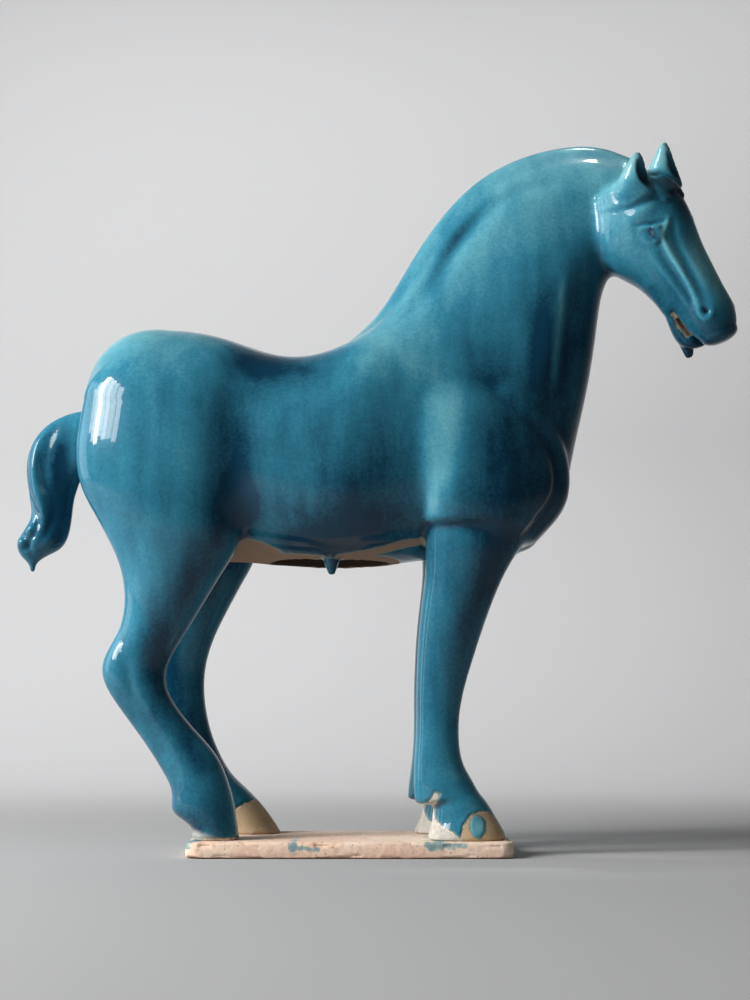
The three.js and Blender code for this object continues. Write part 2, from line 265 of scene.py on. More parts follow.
# Ellipsoids on the far side of the head, mirrored for the near one: middle and radii.
EYEBALL = ((41.8, 23.4, -21.2), (6.6, 4.6, 5.4))
NOSTRIL = ((110.4, 19.5, -17), (3.4, 4, 1.9))
# How much further back the far ear's tip stands, and how much further out its hollow lies.
FAR_EAR_STRETCH = 1.22
FAR_HOLLOW_SHIFT = 1.2

# Points of the curve from one rib to the next.
GAP_SAMPLES = 16
# How far from its surface a body still counts, and the longest distance that is told, in mm.
REACH = 17.0
FURTHEST = 60.0
# Stands for how far off a rib is where no rib line passes, in half ribs.
NO_RIB = 99.0
# Pairs of points worked out at once, which keeps the memory small.
PAIRS_AT_ONCE = 2_000_000


def curve_through(values, samples=GAP_SAMPLES):
    """Catmull-Rom curve through the rows of values, with that many samples in each gap.

    Between rows p1 and p2, with p0 before and p3 after, the point at share f of the gap is
    p1 + f/2 (p2 - p0 + f (2 p0 - 5 p1 + 4 p2 - p3 + f (3 (p1 - p2) + p3 - p0))).
    """
    values = np.asarray(values, float)
    count = len(values)
    at = np.linspace(0, count - 1, (count - 1) * samples + 1)
    gap = np.minimum(at.astype(int), count - 2)
    f = (at - gap)[:, None]
    p0, p1, p2, p3 = (values[np.clip(gap + k, 0, count - 1)] for k in (-1, 0, 1, 2))
    inner = 2 * p0 - 5 * p1 + 4 * p2 - p3 + f * (3 * (p1 - p2) + p3 - p0)
    return p1 + f / 2 * (p2 - p0 + f * inner)


def eased(track, reach):
    """The track with its ripples taken out.

    A Gaussian average of that reach, plus the same average of what the first one lost, so
    broad forms keep their size. The ends are mirrored through themselves and stay in place.
    """
    pad = min(int(3 * reach), len(track) - 1)
    if pad < 2:
        return track
    weights = np.exp(-0.5 * (np.arange(-pad, pad + 1) / reach) ** 2)
    weights /= weights.sum()

    def average(v):
        before = 2 * v[0] - v[pad:0:-1]
        after = 2 * v[-1] - v[-2 : -pad - 2 : -1]
        whole = np.concatenate([before, v, after])
        columns = [np.convolve(whole[:, c], weights, "valid") for c in range(v.shape[1])]
        return np.stack(columns, 1)

    once = average(track)
    return once + average(track - once)


def full_rows(rows, flank=1, shift=None):
    """The ribs with their left-out numbers filled in, mirrored to the other flank by flank -1.

    shift, if given, is how far a point is moved along x at its height.
    """
    filled = np.array([tuple(r) + (0, 0, 2.0)[len(r) - 5 :] for r in rows], float)
    filled[:, 5] *= flank
    if shift is not None:
        filled[:, 0] += shift(filled[:, 1])
        filled[:, 2] += shift(filled[:, 3])
    return filled


def joined(a, b, k):
    """Smooth union of two distances: the smaller, less k h (1 - h) where they are within k."""
    h = np.clip(0.5 + 0.5 * (b - a) / k, 0, 1)
    return b + (a - b) * h - k * h * (1 - h)


def cut(a, b, k):
    """The first distance with the second body taken away, by the same smooth rule."""
    return -joined(-a, b, k)


def pebble(p, middle, radii):
    """Distance to an ellipsoid, (|P/r| - 1) |P/r| / |P/r^2|."""
    away = p - np.array(middle, float)
    radii = np.array(radii, float)
    one = np.sqrt(((away / radii) ** 2).sum(1))
    two = np.sqrt(((away / radii**2) ** 2).sum(1))
    return (one - 1) * one / np.maximum(two, 1e-6)


def smooth_step(v, low, high):
    """0 below low, 1 above high, 3 t^2 - 2 t^3 between."""
    t = np.clip((v - low) / (high - low), 0, 1)
    return t * t * (3 - 2 * t)


class Loft:
    """One rounded body drawn by ribs that stand in the side plane.

    At a point the rib line through it is found in the side plane. s is the distance from the
    rib's middle as a share of its half length, q is (y - middle) / (width (1 + lean s)), and e
    is the distance past the first or last rib as a share of the rounding there. The surface
    is |s|^n + |q|^n + e^n = 1. Everything that depends on x and z alone is kept as a table.

    start and end are the lengths of the rounding past the first and last rib, step is the
    table's spacing, ease is how far ripples are smoothed as a share of the gap between ribs,
    and blunt is how much squarer the section gets past the ends.
    """

    def __init__(self, rows, start=0.0, end=0.0, step=2.0, ease=0.45, blunt=0.0):
        track = eased(curve_through(rows), ease * GAP_SAMPLES)
        a, b = track[:, 0:2], track[:, 2:4]
        self.track, self.mid, self.half = track, (a + b) / 2, (a - b) / 2
        self.blunt = blunt
        self.ends = []
        far = [a, b]
        for at, beside, length in ((0, GAP_SAMPLES, start), (-1, -1 - GAP_SAMPLES, end)):
            way = self.mid[at] - self.mid[beside]
            way = way / np.hypot(*way)
            self.ends.append((at, way, length))
            far.append([self.mid[at] + way * (length or REACH)])
        corners = np.concatenate(far)
        self.low, self.step = corners.min(0) - REACH, step
        count = np.ceil((corners.max(0) + REACH - self.low) / step).astype(int) + 1
        axes = [self.low[k] + step * np.arange(count[k]) for k in (0, 1)]
        grid = np.stack(np.meshgrid(*axes, indexing="ij"), -1).reshape(-1, 2)
        parts = np.array_split(grid, 1 + len(grid) * len(track) // PAIRS_AT_ONCE)
        flat = np.concatenate([self.section(part) for part in parts])
        table = flat.reshape(count[0], count[1], 4)
        slopes = [np.gradient(table[..., k], step, axis=(0, 1)) for k in (0, 1, 2)]
        layers = [table] + [np.stack(pair, -1) for pair in slopes]
        self.table = np.concatenate(layers, -1).astype(np.float32)
        self.side = (
            (table[..., 2] - table[..., 1]).min() - REACH,
            (table[..., 2] + table[..., 1]).max() + REACH,
        )

    def section(self, points):
        """u = (|s|^n + e^n)^(1/n), the half width, the middle's y and n at points (x, z)."""
        away = points[:, None, :] - self.mid
        across = away[..., 0] * self.half[:, 1] - away[..., 1] * self.half[:, 0]
        s = (away * self.half).sum(-1) / (self.half**2).sum(1)
        crossed = across[:, :-1] * across[:, 1:] <= 0
        cost = np.where(crossed, np.abs(s[:, :-1]), NO_RIB)
        j = cost.argmin(1)
        row = np.arange(len(points))
        best = cost[row, j]
        gap = across[row, j] - across[row, j + 1]
        f = np.clip(across[row, j] / np.where(np.abs(gap) < 1e-9, 1e-9, gap), 0, 1)
        t = j + f
        share = s[row, j] * (1 - f) + s[row, j + 1] * f
        past = np.zeros(len(points))
        for at, way, length in self.ends:
            basis = np.stack([self.half[at], way * (length or REACH)], 1)
            s_end, e_end = np.linalg.inv(basis) @ (points - self.mid[at]).T
            size = np.hypot(s_end, e_end) if length else np.abs(s_end)
            taken = (e_end > 0) & (size < best)
            best = np.where(taken, size, best)
            t = np.where(taken, at % len(self.mid), t)
            share = np.where(taken, s_end, share)
            past = np.where(taken, e_end if length else 0.0, past)
        w, y, lean, n = (
            np.interp(t, np.arange(len(self.mid)), self.track[:, k]) for k in (4, 5, 6, 7)
        )
        n = n + self.blunt * np.clip(past, 0, 1)
        u = (np.abs(share) ** n + past**n) ** (1 / n)
        return np.stack([u, w * (1 + lean * np.clip(share, -1.3, 1.3)), y, n], 1)

    def near(self, p):
        """Which of the points p lie in the box where this body can matter."""
        high = self.low + self.step * (np.array(self.table.shape[:2]) - 1)
        return (
            (p[:, 0] > self.low[0])
            & (p[:, 0] < high[0])
            & (p[:, 2] > self.low[1])
            & (p[:, 2] < high[1])
            & (p[:, 1] > self.side[0])
            & (p[:, 1] < self.side[1])
        )

    def distance(self, p):
        """Millimetres outside the surface, to first order: (r - 1) / |slope of r|."""
        at = (p[:, ::2] - self.low) / self.step
        cell = np.clip(at.astype(int), 0, np.array(self.table.shape[:2]) - 2)
        f = (at - cell).astype(np.float32)
        i, k = cell.T
        fx, fz = f[:, :1], f[:, 1:]
        table = self.table
        read = (table[i, k] * (1 - fz) + table[i, k + 1] * fz) * (1 - fx)
        read += (table[i + 1, k] * (1 - fz) + table[i + 1, k + 1] * fz) * fx
        u, w, y, n, ux, uz, wx, wz, yx, yz = read.T.astype(float)
        w = np.maximum(w, 0.5)
        q = (p[:, 1] - y) / w
        size = np.abs(q)
        r = np.maximum((u**n + size**n) ** (1 / n), 1e-3)
        pu, pq = (u / r) ** (n - 1), (size / r) ** (n - 1) * np.sign(q)
        gx = pu * ux - pq * (yx + q * wx) / w
        gz = pu * uz - pq * (yz + q * wz) / w
        gy = pq / w
        slope = np.sqrt(gx * gx + gy * gy + gz * gz)
        return np.clip((r - 1) / np.maximum(slope, 1e-3), -FURTHEST, FURTHEST)

    def join(self, d, p, k, rule=joined):
        """The distances d at the points p, joined with this body's in place where it's near.

        k is the softness in millimetres, or a function that gives it at the points.
        """
        near = np.nonzero(self.near(p))[0]
        if len(near):
            soft = k(p[near]) if callable(k) else k
            d[near] = rule(d[near], self.distance(p[near]), soft)


def stroke(p, path):
    """Height of a drawn ridge or groove at the points p: height * exp(-(distance / width)^2).

    A path's rows are a point, a width and a height, the last two easing from row to row.
    """
    line = curve_through(path, 6)
    dims = line.shape[1] - 2
    out = np.zeros(len(p))
    reach = 3 * np.abs(line[:, dims]).max()
    low, high = line[:, :dims].min(0) - reach, line[:, :dims].max(0) + reach
    inside = np.nonzero(((p > low) & (p < high)).all(1))[0]
    if not len(inside):
        return out
    start, end = line[:-1], line[1:]
    way = (end - start)[:, :dims]
    for part in np.array_split(inside, 1 + len(inside) * len(way) // PAIRS_AT_ONCE):
        away = p[part][:, None, :] - start[:, :dims]
        f = np.clip((away * way).sum(-1) / (way**2).sum(1), 0, 1)
        gap = ((away - f[..., None] * way) ** 2).sum(-1)
        j = gap.argmin(1)
        row = np.arange(len(part))
        f = f[row, j][:, None]
        width, height = (start[j] * (1 - f) + end[j] * f)[:, dims:].T
        out[part] = height * np.exp(-gap[row, j] / width**2)
    return out


# Ridges (height above 0) and grooves (below 0) drawn on the body: x, z, width, height.
BODY_STROKES = [
    # Groove under the clipped mane.
    [(26, 362, 9, -0.6), (50, 396, 8, -1.6), (68, 424, 7, -2.4), (82, 446, 7, -2.6),
     (97, 464, 7, -2.2), (120, 482, 7, -1.4), (150, 492, 7, -0.8), (178, 495, 6, -0.4)],
    # Groove beside the windpipe, and the windpipe's own ridge.
    [(172, 420, 8, -0.6), (166, 390, 9, -2.2), (162, 358, 9, -2.6), (156, 328, 9, -1.6),
     (150, 306, 8, -0.4)],
    [(160, 414, 9, 0.5), (152, 384, 10, 1.4), (147, 350, 10, 1.5), (142, 322, 9, 0.6)],
    # The hollow behind the upper arm.
    [(40, 352, 20, -0.6), (34, 318, 23, -2.2), (30, 285, 24, -3.2), (30, 255, 22, -3.0),
     (36, 226, 16, -1.2)],
    # The hollow of the flank in front of the haunch, running down to the stifle.
    [(-74, 350, 20, -0.8), (-79, 320, 22, -2.6), (-82, 285, 22, -3.8), (-83, 252, 20, -3.6),
     (-84, 226, 15, -2.0)],
    [(-58, 330, 14, 0.3), (-61, 304, 15, 1.2), (-63, 268, 15, 1.5), (-64, 236, 14, 0.7)],
    # Tendons of the hock and of the cannon.
    [(-166, 150, 5, -0.4), (-163, 126, 5, -1.6), (-157, 104, 4.5, -1.8),
     (-146, 84, 4.5, -1.4), (-134, 62, 4.5, -0.6)],
]

# Twisted locks of the tail: x, z, width, height.
TAIL_STROKES = [
    [(-224, 307, 4, -0.4), (-229, 297, 4.5, -1.4), (-232.5, 279, 4.5, -2.2),
     (-232, 263, 4.5, -2.2), (-228, 253, 4.5, -2.0), (-226, 240, 4, -1.8), (-229, 228, 3.5, -1.6),
     (-236, 216, 3.5, -0.8)],
    [(-231, 304, 4, 0.4), (-238.5, 296, 4, 1.4), (-241, 279, 4, 2.4), (-239.5, 263, 4, 2.4),
     (-236.5, 252, 4, 2.2), (-234.5, 241, 4, 1.5), (-237, 230, 4, 0.5)],
    [(-249, 262, 2.5, -0.4), (-244.5, 254, 2.6, -2.0), (-240, 246, 2.8, -2.4),
     (-236, 236, 2.8, -2.0), (-239.5, 224, 2.6, -1.8), (-245.5, 214, 2.4, -1.4)],
    [(-218, 296, 8, -0.8), (-221, 281, 9, -3.0), (-222, 265, 9, -3.4), (-221, 251, 8, -3.0),
     (-221, 238, 7, -2.2), (-225, 226, 6, -1.0)],
    [(-240, 233, 4, 0.5), (-242.5, 228, 4.6, 2.2), (-243.5, 222.5, 3.6, 0.6)],
    [(-249, 224, 3.6, 0.5), (-250, 218.5, 4.4, 1.9), (-250, 213, 3.4, 0.6)],
    [(-253, 227, 2.2, -0.6), (-247.5, 222.5, 2.4, -1.8), (-243, 215.5, 2.4, -1.6),
     (-241, 207.5, 2, -0.6)],
    [(-246, 292, 2, -0.3), (-247, 280, 2.2, -1.1), (-245, 268, 2.2, -0.9), (-242, 258, 2, -0.3)],
]

# The same on the head: x, z, width, height on its sides.
HEAD_STROKES = [
    # The ridge from the eye's inner corner down to the nostril, where it curls round the rim.
    [(36, -10.5, 1.8, 0.6), (41, -13.5, 1.9, 1.9), (46.5, -17, 1.9, 2.3), (53, -18.8, 1.9, 2.4),
     (62, -19.2, 1.9, 2.4), (72, -19, 1.9, 2.4), (84, -18.8, 1.9, 2.3), (95, -19.2, 2.1, 2.4),
     (103, -19.8, 2.3, 2.4), (109.5, -21.2, 2.3, 2.0), (114.5, -20.4, 2.1, 1.7),
     (116, -17, 2.0, 1.5), (113.5, -13.8, 1.9, 1.1), (109, -12.6, 1.8, 0.4)],
    # The grooves on its two sides.
    [(40, -9, 2.2, -0.5), (50, -12.6, 2.6, -1.4), (62, -13.8, 2.7, -1.6), (78, -13.8, 2.7, -1.7),
     (94, -13.8, 2.6, -1.4), (103, -14.2, 2.2, -0.6)],
    [(52, -23, 2.4, -0.6), (60, -24, 2.6, -1.5), (72, -23.8, 2.6, -1.7), (85, -23.2, 2.6, -1.5),
     (98, -23.4, 2.6, -0.8)],
    # The lower ridge of the cheek bone.
    [(56, -30, 2.8, 0.4), (66, -29.6, 2.8, 1.6), (80, -28.2, 2.8, 2.0), (93, -27, 2.8, 1.7),
     (104, -26.6, 2.8, 0.5)],
    # Brow, the crease of the upper lid, and the two lids.
    [(21, -10, 5, 0.4), (22.5, -17, 5.5, 1.7), (24, -25, 5.5, 1.8), (26, -32, 5, 0.5)],
    [(37.5, -11.5, 1.2, -0.5), (36, -15.5, 1.4, -1.5), (34, -20.5, 1.4, -1.6),
     (31.6, -26, 1.3, -1.1), (30, -31, 1.2, -0.3)],
    [(40, -13.5, 1.3, 0.4), (38.2, -17, 1.5, 1.3), (36.6, -21.5, 1.5, 1.3), (35, -26.5, 1.5, 0.9),
     (34.5, -30, 1.4, 0.2)],
    [(45.5, -17.5, 1.3, 0.2), (48.2, -22, 1.4, 0.6), (47, -26.6, 1.4, 0.5), (42, -29.6, 1.4, 0.3),
     (37, -31, 1.3, 0.1)],
    [(50, -20.5, 1.4, -0.2), (51.6, -25, 1.5, -0.4), (48, -30.4, 1.5, -0.4), (41, -33, 1.4, -0.1)],
    # The pupil, a pricked hollow that the glaze fills.
    [(37.4, -20.2, 1.8, -0.4), (40.4, -21.8, 2.5, -0.9), (43.6, -23.6, 1.8, -0.4)],
    # The lip's soft swelling over the mouth.
    [(104, -39, 3, 0.3), (114, -37.5, 3.2, 0.9), (124, -35, 3, 0.5)],
]


def far_foot_shift(z):
    """How far the far forefoot is moved along x at height z: back below 50 mm, by 0.16 a mm."""
    return -0.16 * np.maximum(0, 50 - z)


def turned(about_z, about_y, about_x):
    """The matrix of a turn about x, then about y and then about z, in radians."""
    (cz, sz), (cy, sy), (cx, sx) = (
        (math.cos(angle), math.sin(angle)) for angle in (about_z, about_y, about_x)
    )
    turn_z = np.array([[cz, -sz, 0], [sz, cz, 0], [0, 0, 1]])
    turn_y = np.array([[cy, 0, sy], [0, 1, 0], [-sy, 0, cy]])
    turn_x = np.array([[1, 0, 0], [0, cx, -sx], [0, sx, cx]])
    return turn_z @ turn_y @ turn_x


def paired_pebble(p, pebble_shape, flank):
    """Distance to one of a pair of ellipsoids that mirror each other across the side plane."""
    (x, y, z), radii = pebble_shape
    return pebble(p, (x, y * flank, z), radii)


def softer_along(axis, start, end, least, more):
    """How softly a form joins, in mm: least before start on that axis, least + more past end."""
    return lambda p: least + more * smooth_step(p[:, axis], start, end)


def arm_softness(p):
    """How softly the upper arm joins the trunk, in mm: most over the middle of its height."""
    low, high = smooth_step(p[:, 2], 234, 290), smooth_step(p[:, 2], 310, 347)
    return 2.5 + 12 * low * (1 - high)


BREAST_SOFTNESS = softer_along(2, 290, 325, 2.5, 8)
ELBOW_SOFTNESS = softer_along(0, 90, 116, 3.5, 12)
HAUNCH_SOFTNESS = softer_along(2, 205, 250, 4, 12)
JAW_SOFTNESS = softer_along(0, 106, 92, 2, 8)


class HorseForm:
    """The whole horse as one signed distance in millimetres, negative inside."""

    def __init__(self):
        self.head_axes = turned(*FACE_TURNS)
        self.parts = [
            (Loft(full_rows(TRUNK), 66, 20, ease=0.7, blunt=0.25), 1),
            (Loft(full_rows(MANE), 20, 10, step=1.5, ease=0.8), 9),
        ]
        for flank in BOTH:
            shift = far_foot_shift if flank == 1 else None
            leg = full_rows(FORELEG, -flank, shift)
            foot = full_rows(FOREFOOT, -flank, shift)
            self.parts += [
                (Loft(full_rows(UPPER_ARM, -flank), 14, 7), arm_softness),
                (Loft(full_rows(PECTORAL, -flank), 12, 9), BREAST_SOFTNESS),
                (Loft(leg, 22, 5, step=1.5), ELBOW_SOFTNESS),
                (Loft(foot, 5, 0, step=1.2), 3.0),
            ]
        self.parts += [
            (Loft(full_rows(HINDLEG), 30, 0, step=1.5), HAUNCH_SOFTNESS),
            (Loft(full_rows(FAR_HINDLEG), 30, 0, step=1.5), HAUNCH_SOFTNESS),
            (Loft(full_rows(TAIL), 6, 3, step=1.2), 3.0),
            (Loft(full_rows(GLAZE_DROP), 2, 2, step=1.0), 2.0),
        ]
        self.skull = Loft(full_rows(SKULL), 10, 8.6, ease=0.6, step=1.0)
        self.jaw = Loft(full_rows(LOWER_JAW), 4, 3, step=1.0)
        self.chin = Loft(full_rows(CHIN_TUFT), 2, 2.6, step=1.0)
        self.forelocks = [Loft(full_rows(FORELOCK, f), 3, 4, step=1.0) for f in BOTH]
        self.mouths = [Loft(full_rows(MOUTH, f), 2.5, 2.5, step=0.8, ease=0.3) for f in BOTH]
        self.ears, self.hollows = [], []
        for flank in BOTH:
            ear, hollow = full_rows(EAR, flank), full_rows(EAR_HOLLOW, flank)
            if flank == 1:
                hollow[:, 5] += FAR_HOLLOW_SHIFT
                for rows in (ear, hollow):
                    rows[:, [0, 2]] *= np.where(rows[:, [0, 2]] < 0, FAR_EAR_STRETCH, 1)
            self.ears.append(Loft(ear, 4, 3.5, step=0.8, ease=0.3))
            self.hollows.append(Loft(hollow, 3, 2.5, step=0.8, ease=0.3))
        self.head_strokes = []
        for rows in HEAD_STROKES:
            rows = np.array(rows, float)
            for flank in BOTH:
                y = self.side_of_head(rows[:, 0], rows[:, 1], flank)
                path = np.column_stack([rows[:, 0], y, rows[:, 1:]])
                self.head_strokes.append(path)

    def smooth_head(self, p):
        """Distance to the skull with its eyeballs and lower jaw, before the fine forms."""
        d = self.skull.distance(p)
        self.jaw.join(d, p, JAW_SOFTNESS)
        for flank in BOTH:
            d = joined(d, paired_pebble(p, EYEBALL, flank), 2.0)
        return d

    def side_of_head(self, x, z, flank):
        """The y where the head's side stands at x and z, found by halving."""
        inner, outer = np.zeros(len(x)), np.full(len(x), 45.0 * flank)
        for _ in range(24):
            middle = (inner + outer) / 2
            within = self.smooth_head(np.column_stack([x, middle, z])) < 0
            inner = np.where(within, middle, inner)
            outer = np.where(within, outer, middle)
        return inner

    def in_head(self, p):
        """Points of the figure in the head's own frame."""
        return (p - np.array(POLL)) @ self.head_axes

    def head(self, p):
        """Distance to the head alone, at points in its own frame.

        The cap of short hair is the skull grown by up to 1.9 mm behind a slanting edge.
        """
        d = self.smooth_head(p)
        self.chin.join(d, p, 2.0)
        for path in self.head_strokes:
            d -= stroke(p, path)
        for flank, mouth in zip(BOTH, self.mouths):
            d = cut(d, paired_pebble(p, NOSTRIL, flank), 0.8)
            mouth.join(d, p, 1.0, cut)
        edge = 19.3 - 0.33 * np.maximum(0, -16 - p[:, 2])
        lift = 1.9 * smooth_step(p[:, 2], -58, -30)
        hair = cut(self.skull.distance(p) - lift, edge - p[:, 0], 4.0)
        d = joined(d, hair, 1.5)
        for lock in self.forelocks:
            lock.join(d, p, 1.5)
        for ear, hollow in zip(self.ears, self.hollows):
            near = np.nonzero(ear.near(p))[0]
            one = cut(ear.distance(p[near]), hollow.distance(p[near]), 1.0)
            d[near] = joined(d[near], one, 2.5)
        return d

    def distance(self, p):
        """Distance to the whole horse, at points of the figure in millimetres.

        The bodies are joined, the strokes raised or sunk near the surface, fading out towards
        the side plane, the head joined on, and the opening and the flat soles cut away.
        """
        d = np.full(len(p), 40.0)
        for loft, k in self.parts:
            loft.join(d, p, k)
        aside = np.abs(p[:, 1])
        for paths, there, inner, outer in (
            (BODY_STROKES, aside > 8, 8, 22),
            (TAIL_STROKES, p[:, 0] < -200, 2, 8),
        ):
            near = np.nonzero(there & (np.abs(d) < 14))[0]
            flat, fade = p[near][:, ::2], smooth_step(aside[near], inner, outer)
            for path in paths:
                d[near] -= stroke(flat, path) * fade
        in_head = self.in_head(p)
        box = (in_head > (-40, -50, -104)) & (in_head < (158, 50, 20))
        near = np.nonzero(box.all(1))[0]
        if len(near):
            d[near] = joined(d[near], self.head(in_head[near]), 7.0)
        d = cut(d, pebble(p, *OPENING), 2.0)
        return cut(d, p[:, 2] + 0.2, 1.2)


# Four of a cube's corners, which are those of a tetrahedron.
CORNERS = np.array([[1, -1, -1], [-1, -1, 1], [-1, 1, -1], [1, 1, 1]], float)


def slope_at(form, p, reach=0.5):
    """Value and slope of the form at p from four samples at the corners of a tetrahedron."""
    values = [form.distance(p + reach * corner) for corner in CORNERS]
    slope = sum(v[:, None] * c for v, c in zip(values, CORNERS)) / (4 * reach)
    return sum(values) / 4, slope


def settled(form, p, rounds=2):
    """The points p moved on to the form's surface by Newton steps down its slope."""
    for _ in range(rounds):
        slope = slope_at(form, p)[1]
        steep = np.maximum((slope**2).sum(1), 0.09)
        step = form.distance(p) / steep
        p = p - np.clip(step, -2.5, 2.5)[:, None] * slope
    return p


def without_pinches(values):
    """Grid values with no face of which just two opposite corners lie inside.

    Such a face pinches the surface. Of its four corners the one nearest the surface changes
    sides, and the faces are looked through again until none is left.
    """
    values = values.copy()
    flat = values.reshape(-1)
    pinched = True
    while pinched:
        pinched = False
        for fixed in range(3):
            step = np.delete(np.eye(3, dtype=int), fixed, 0)
            corners = np.array([0 * step[0], step[0], step[1], step[0] + step[1]])
            size = np.array(values.shape) - corners[3]
            a, b, c, d = (values[tuple(slice(s, s + n) for s, n in zip(corner, size))] < 0
                          for corner in corners)
            at = np.argwhere((a == d) & (b == c) & (a != b))
            if len(at):
                places = (at[:, None] + corners).transpose(2, 0, 1)
                ring = np.ravel_multi_index(places, values.shape)
                nearest = np.abs(flat[ring]).argmin(1)
                moved = np.unique(ring[np.arange(len(ring)), nearest])
                flat[moved] = np.where(flat[moved] < 0, 1e-6, -1e-6) - flat[moved]
                pinched = True
    return values


def surface_net(values, low, step):
    """Closed quads where values on a box grid change sign.

    Each grid cell that the surface crosses gets one vertex, the mean of the crossings on its
    edges, and each crossed grid edge gets the quad of its four cells, facing outwards.
    """
    count = values.shape
    strides = np.array([count[1] * count[2], count[2], 1])
    quads, cells, points = [], [], []
    for axis in range(3):
        first = [slice(None)] * 3
        second = [slice(None)] * 3
        first[axis], second[axis] = slice(None, -1), slice(1, None)
        a, b = values[tuple(first)], values[tuple(second)]
        at = np.argwhere((a < 0) != (b < 0))
        va, vb = a[tuple(at.T)], b[tuple(at.T)]
        place = at.astype(float)
        place[:, axis] += va / (va - vb)
        u, v = (axis + 1) % 3, (axis + 2) % 3
        base = at @ strides
        ring = [base - strides[u] - strides[v], base - strides[v], base, base - strides[u]]
        ring = np.stack(ring, 1)
        quads.append(np.where((va < 0)[:, None], ring, ring[:, ::-1]))
        cells.append(ring.ravel())
        points.append(np.repeat(place, 4, 0))
    cells, points, quads = (np.concatenate(v) for v in (cells, points, quads))
    names, index = np.unique(cells, return_inverse=True)
    hits = np.bincount(index)
    middle = np.stack([np.bincount(index, points[:, k]) / hits for k in range(3)], 1)
    return low + middle * step, np.searchsorted(names, quads)


def triangles_of(points, quads):
    """Each quad as two triangles, split along its shorter diagonal."""
    a, b, c, d = points[quads].transpose(1, 0, 2)
    short = ((a - c) ** 2).sum(1) <= ((b - d) ** 2).sum(1)
    one = np.where(short[:, None], quads[:, [0, 1, 2]], quads[:, [0, 1, 3]])
    two = np.where(short[:, None], quads[:, [0, 2, 3]], quads[:, [1, 2, 3]])
    return np.concatenate([one, two])


def edges_of(faces):
    """The mesh's edges, each once, and for each triangle the numbers of its three edges."""
    pairs = np.concatenate([faces[:, [0, 1]], faces[:, [1, 2]], faces[:, [2, 0]]])
    pairs.sort(1)
    size = int(faces.max()) + 1
    keys, index = np.unique(pairs[:, 0].astype(np.int64) * size + pairs[:, 1], return_inverse=True)
    return np.stack([keys // size, keys % size], 1), index.reshape(3, -1).T


def refined(points, faces, chosen):
    """Triangles split where both ends of an edge are chosen: in 4, 3 or 2, with no open seam."""
    edges, owned = edges_of(faces)
    split = chosen[edges].all(1)
    number = np.full(len(edges), -1)
    number[split] = len(points) + np.arange(split.sum())
    points = np.concatenate([points, points[edges[split]].mean(1)])
    mids = number[owned]
    flags = mids >= 0
    kept = [faces[flags.sum(1) == 0]]
    whole = flags.all(1)
    (a, b, c), (ab, bc, ca) = faces[whole].T, mids[whole].T
    kept += [np.stack(t, 1) for t in ((a, ab, ca), (b, bc, ab), (c, ca, bc), (ab, bc, ca))]
    for turn in range(3):
        order = np.roll([0, 1, 2], -turn)
        f, m, g = faces[:, order], mids[:, order], flags[:, order]
        one = g[:, 0] & ~g[:, 1] & ~g[:, 2]
        (a, b, c), ab = f[one].T, m[one, 0]
        kept += [np.stack(t, 1) for t in ((a, ab, c), (ab, b, c))]
        two = g[:, 0] & g[:, 1] & ~g[:, 2]
        (a, b, c), ab, bc = f[two].T, m[two, 0], m[two, 1]
        kept += [np.stack(t, 1) for t in ((b, bc, ab), (a, ab, bc), (a, bc, c))]
    return points, np.concatenate(kept)


def neighbour_mean(values, edges, count):
    """For each vertex the mean of values over the vertices that an edge joins it to."""
    a, b = edges.T
    both, other = np.concatenate([a, b]), np.concatenate([b, a])
    hits = np.maximum(np.bincount(both, minlength=count), 1)
    columns = [np.bincount(both, column[other], minlength=count) for column in values.T]
    return np.stack(columns, 1) / hits[:, None]


def evened(form, points, faces, rounds):
    """Vertices slid along the surface towards the middle of their neighbours, then settled."""
    edges = edges_of(faces)[0]
    for _ in range(rounds):
        normal = slope_at(form, points)[1]
        normal /= np.maximum(np.linalg.norm(normal, axis=1, keepdims=True), 1e-6)
        move = neighbour_mean(points, edges, len(points)) - points
        move -= normal * (move * normal).sum(1, keepdims=True)
        points = settled(form, points + 0.6 * move, 1)
    return points


def hollowness(points, normals, edges, rounds):
    """How far each vertex lies below the mean of its surroundings, along its normal, in mm.

    The surroundings are the positions averaged over neighbours that many rounds.
    """
    soft = points
    for _ in range(rounds):
        soft = neighbour_mean(soft, edges, len(points))
    return ((soft - points) * normals).sum(1)


def outline_distance(points, outline):
    """Signed distance in the plane to a closed outline, positive inside it.

    The distance is the least over its sides, and a point is inside where a ray along +x meets
    an odd number of sides.
    """
    start = np.array(outline, float)
    end = np.roll(start, -1, 0)
    away = points[:, None, :] - start
    way = end - start
    f = np.clip((away * way).sum(-1) / (way**2).sum(1), 0, 1)
    gap = np.sqrt(((away - f[..., None] * way) ** 2).sum(-1).min(1))
    above = points[:, None, 1] >= start[:, 1]
    crossed = above != (points[:, None, 1] >= end[:, 1])
    rise = np.where(np.abs(way[:, 1]) < 1e-9, 1e-9, way[:, 1])
    meets = start[:, 0] + way[:, 0] * (points[:, None, 1] - start[:, 1]) / rise
    odd = (crossed & (points[:, None, 0] < meets)).sum(1) % 2 == 1
    return np.where(odd, gap, -gap)


def round_patch(x, z, middle, radii, power):
    """Rough signed distance inside |x/rx|^n + |z/rz|^n = 1, positive inside."""
    r = np.abs((x - middle[0]) / radii[0]) ** power + np.abs((z - middle[1]) / radii[1]) ** power
    return (1 - r ** (1 / power)) * min(radii)


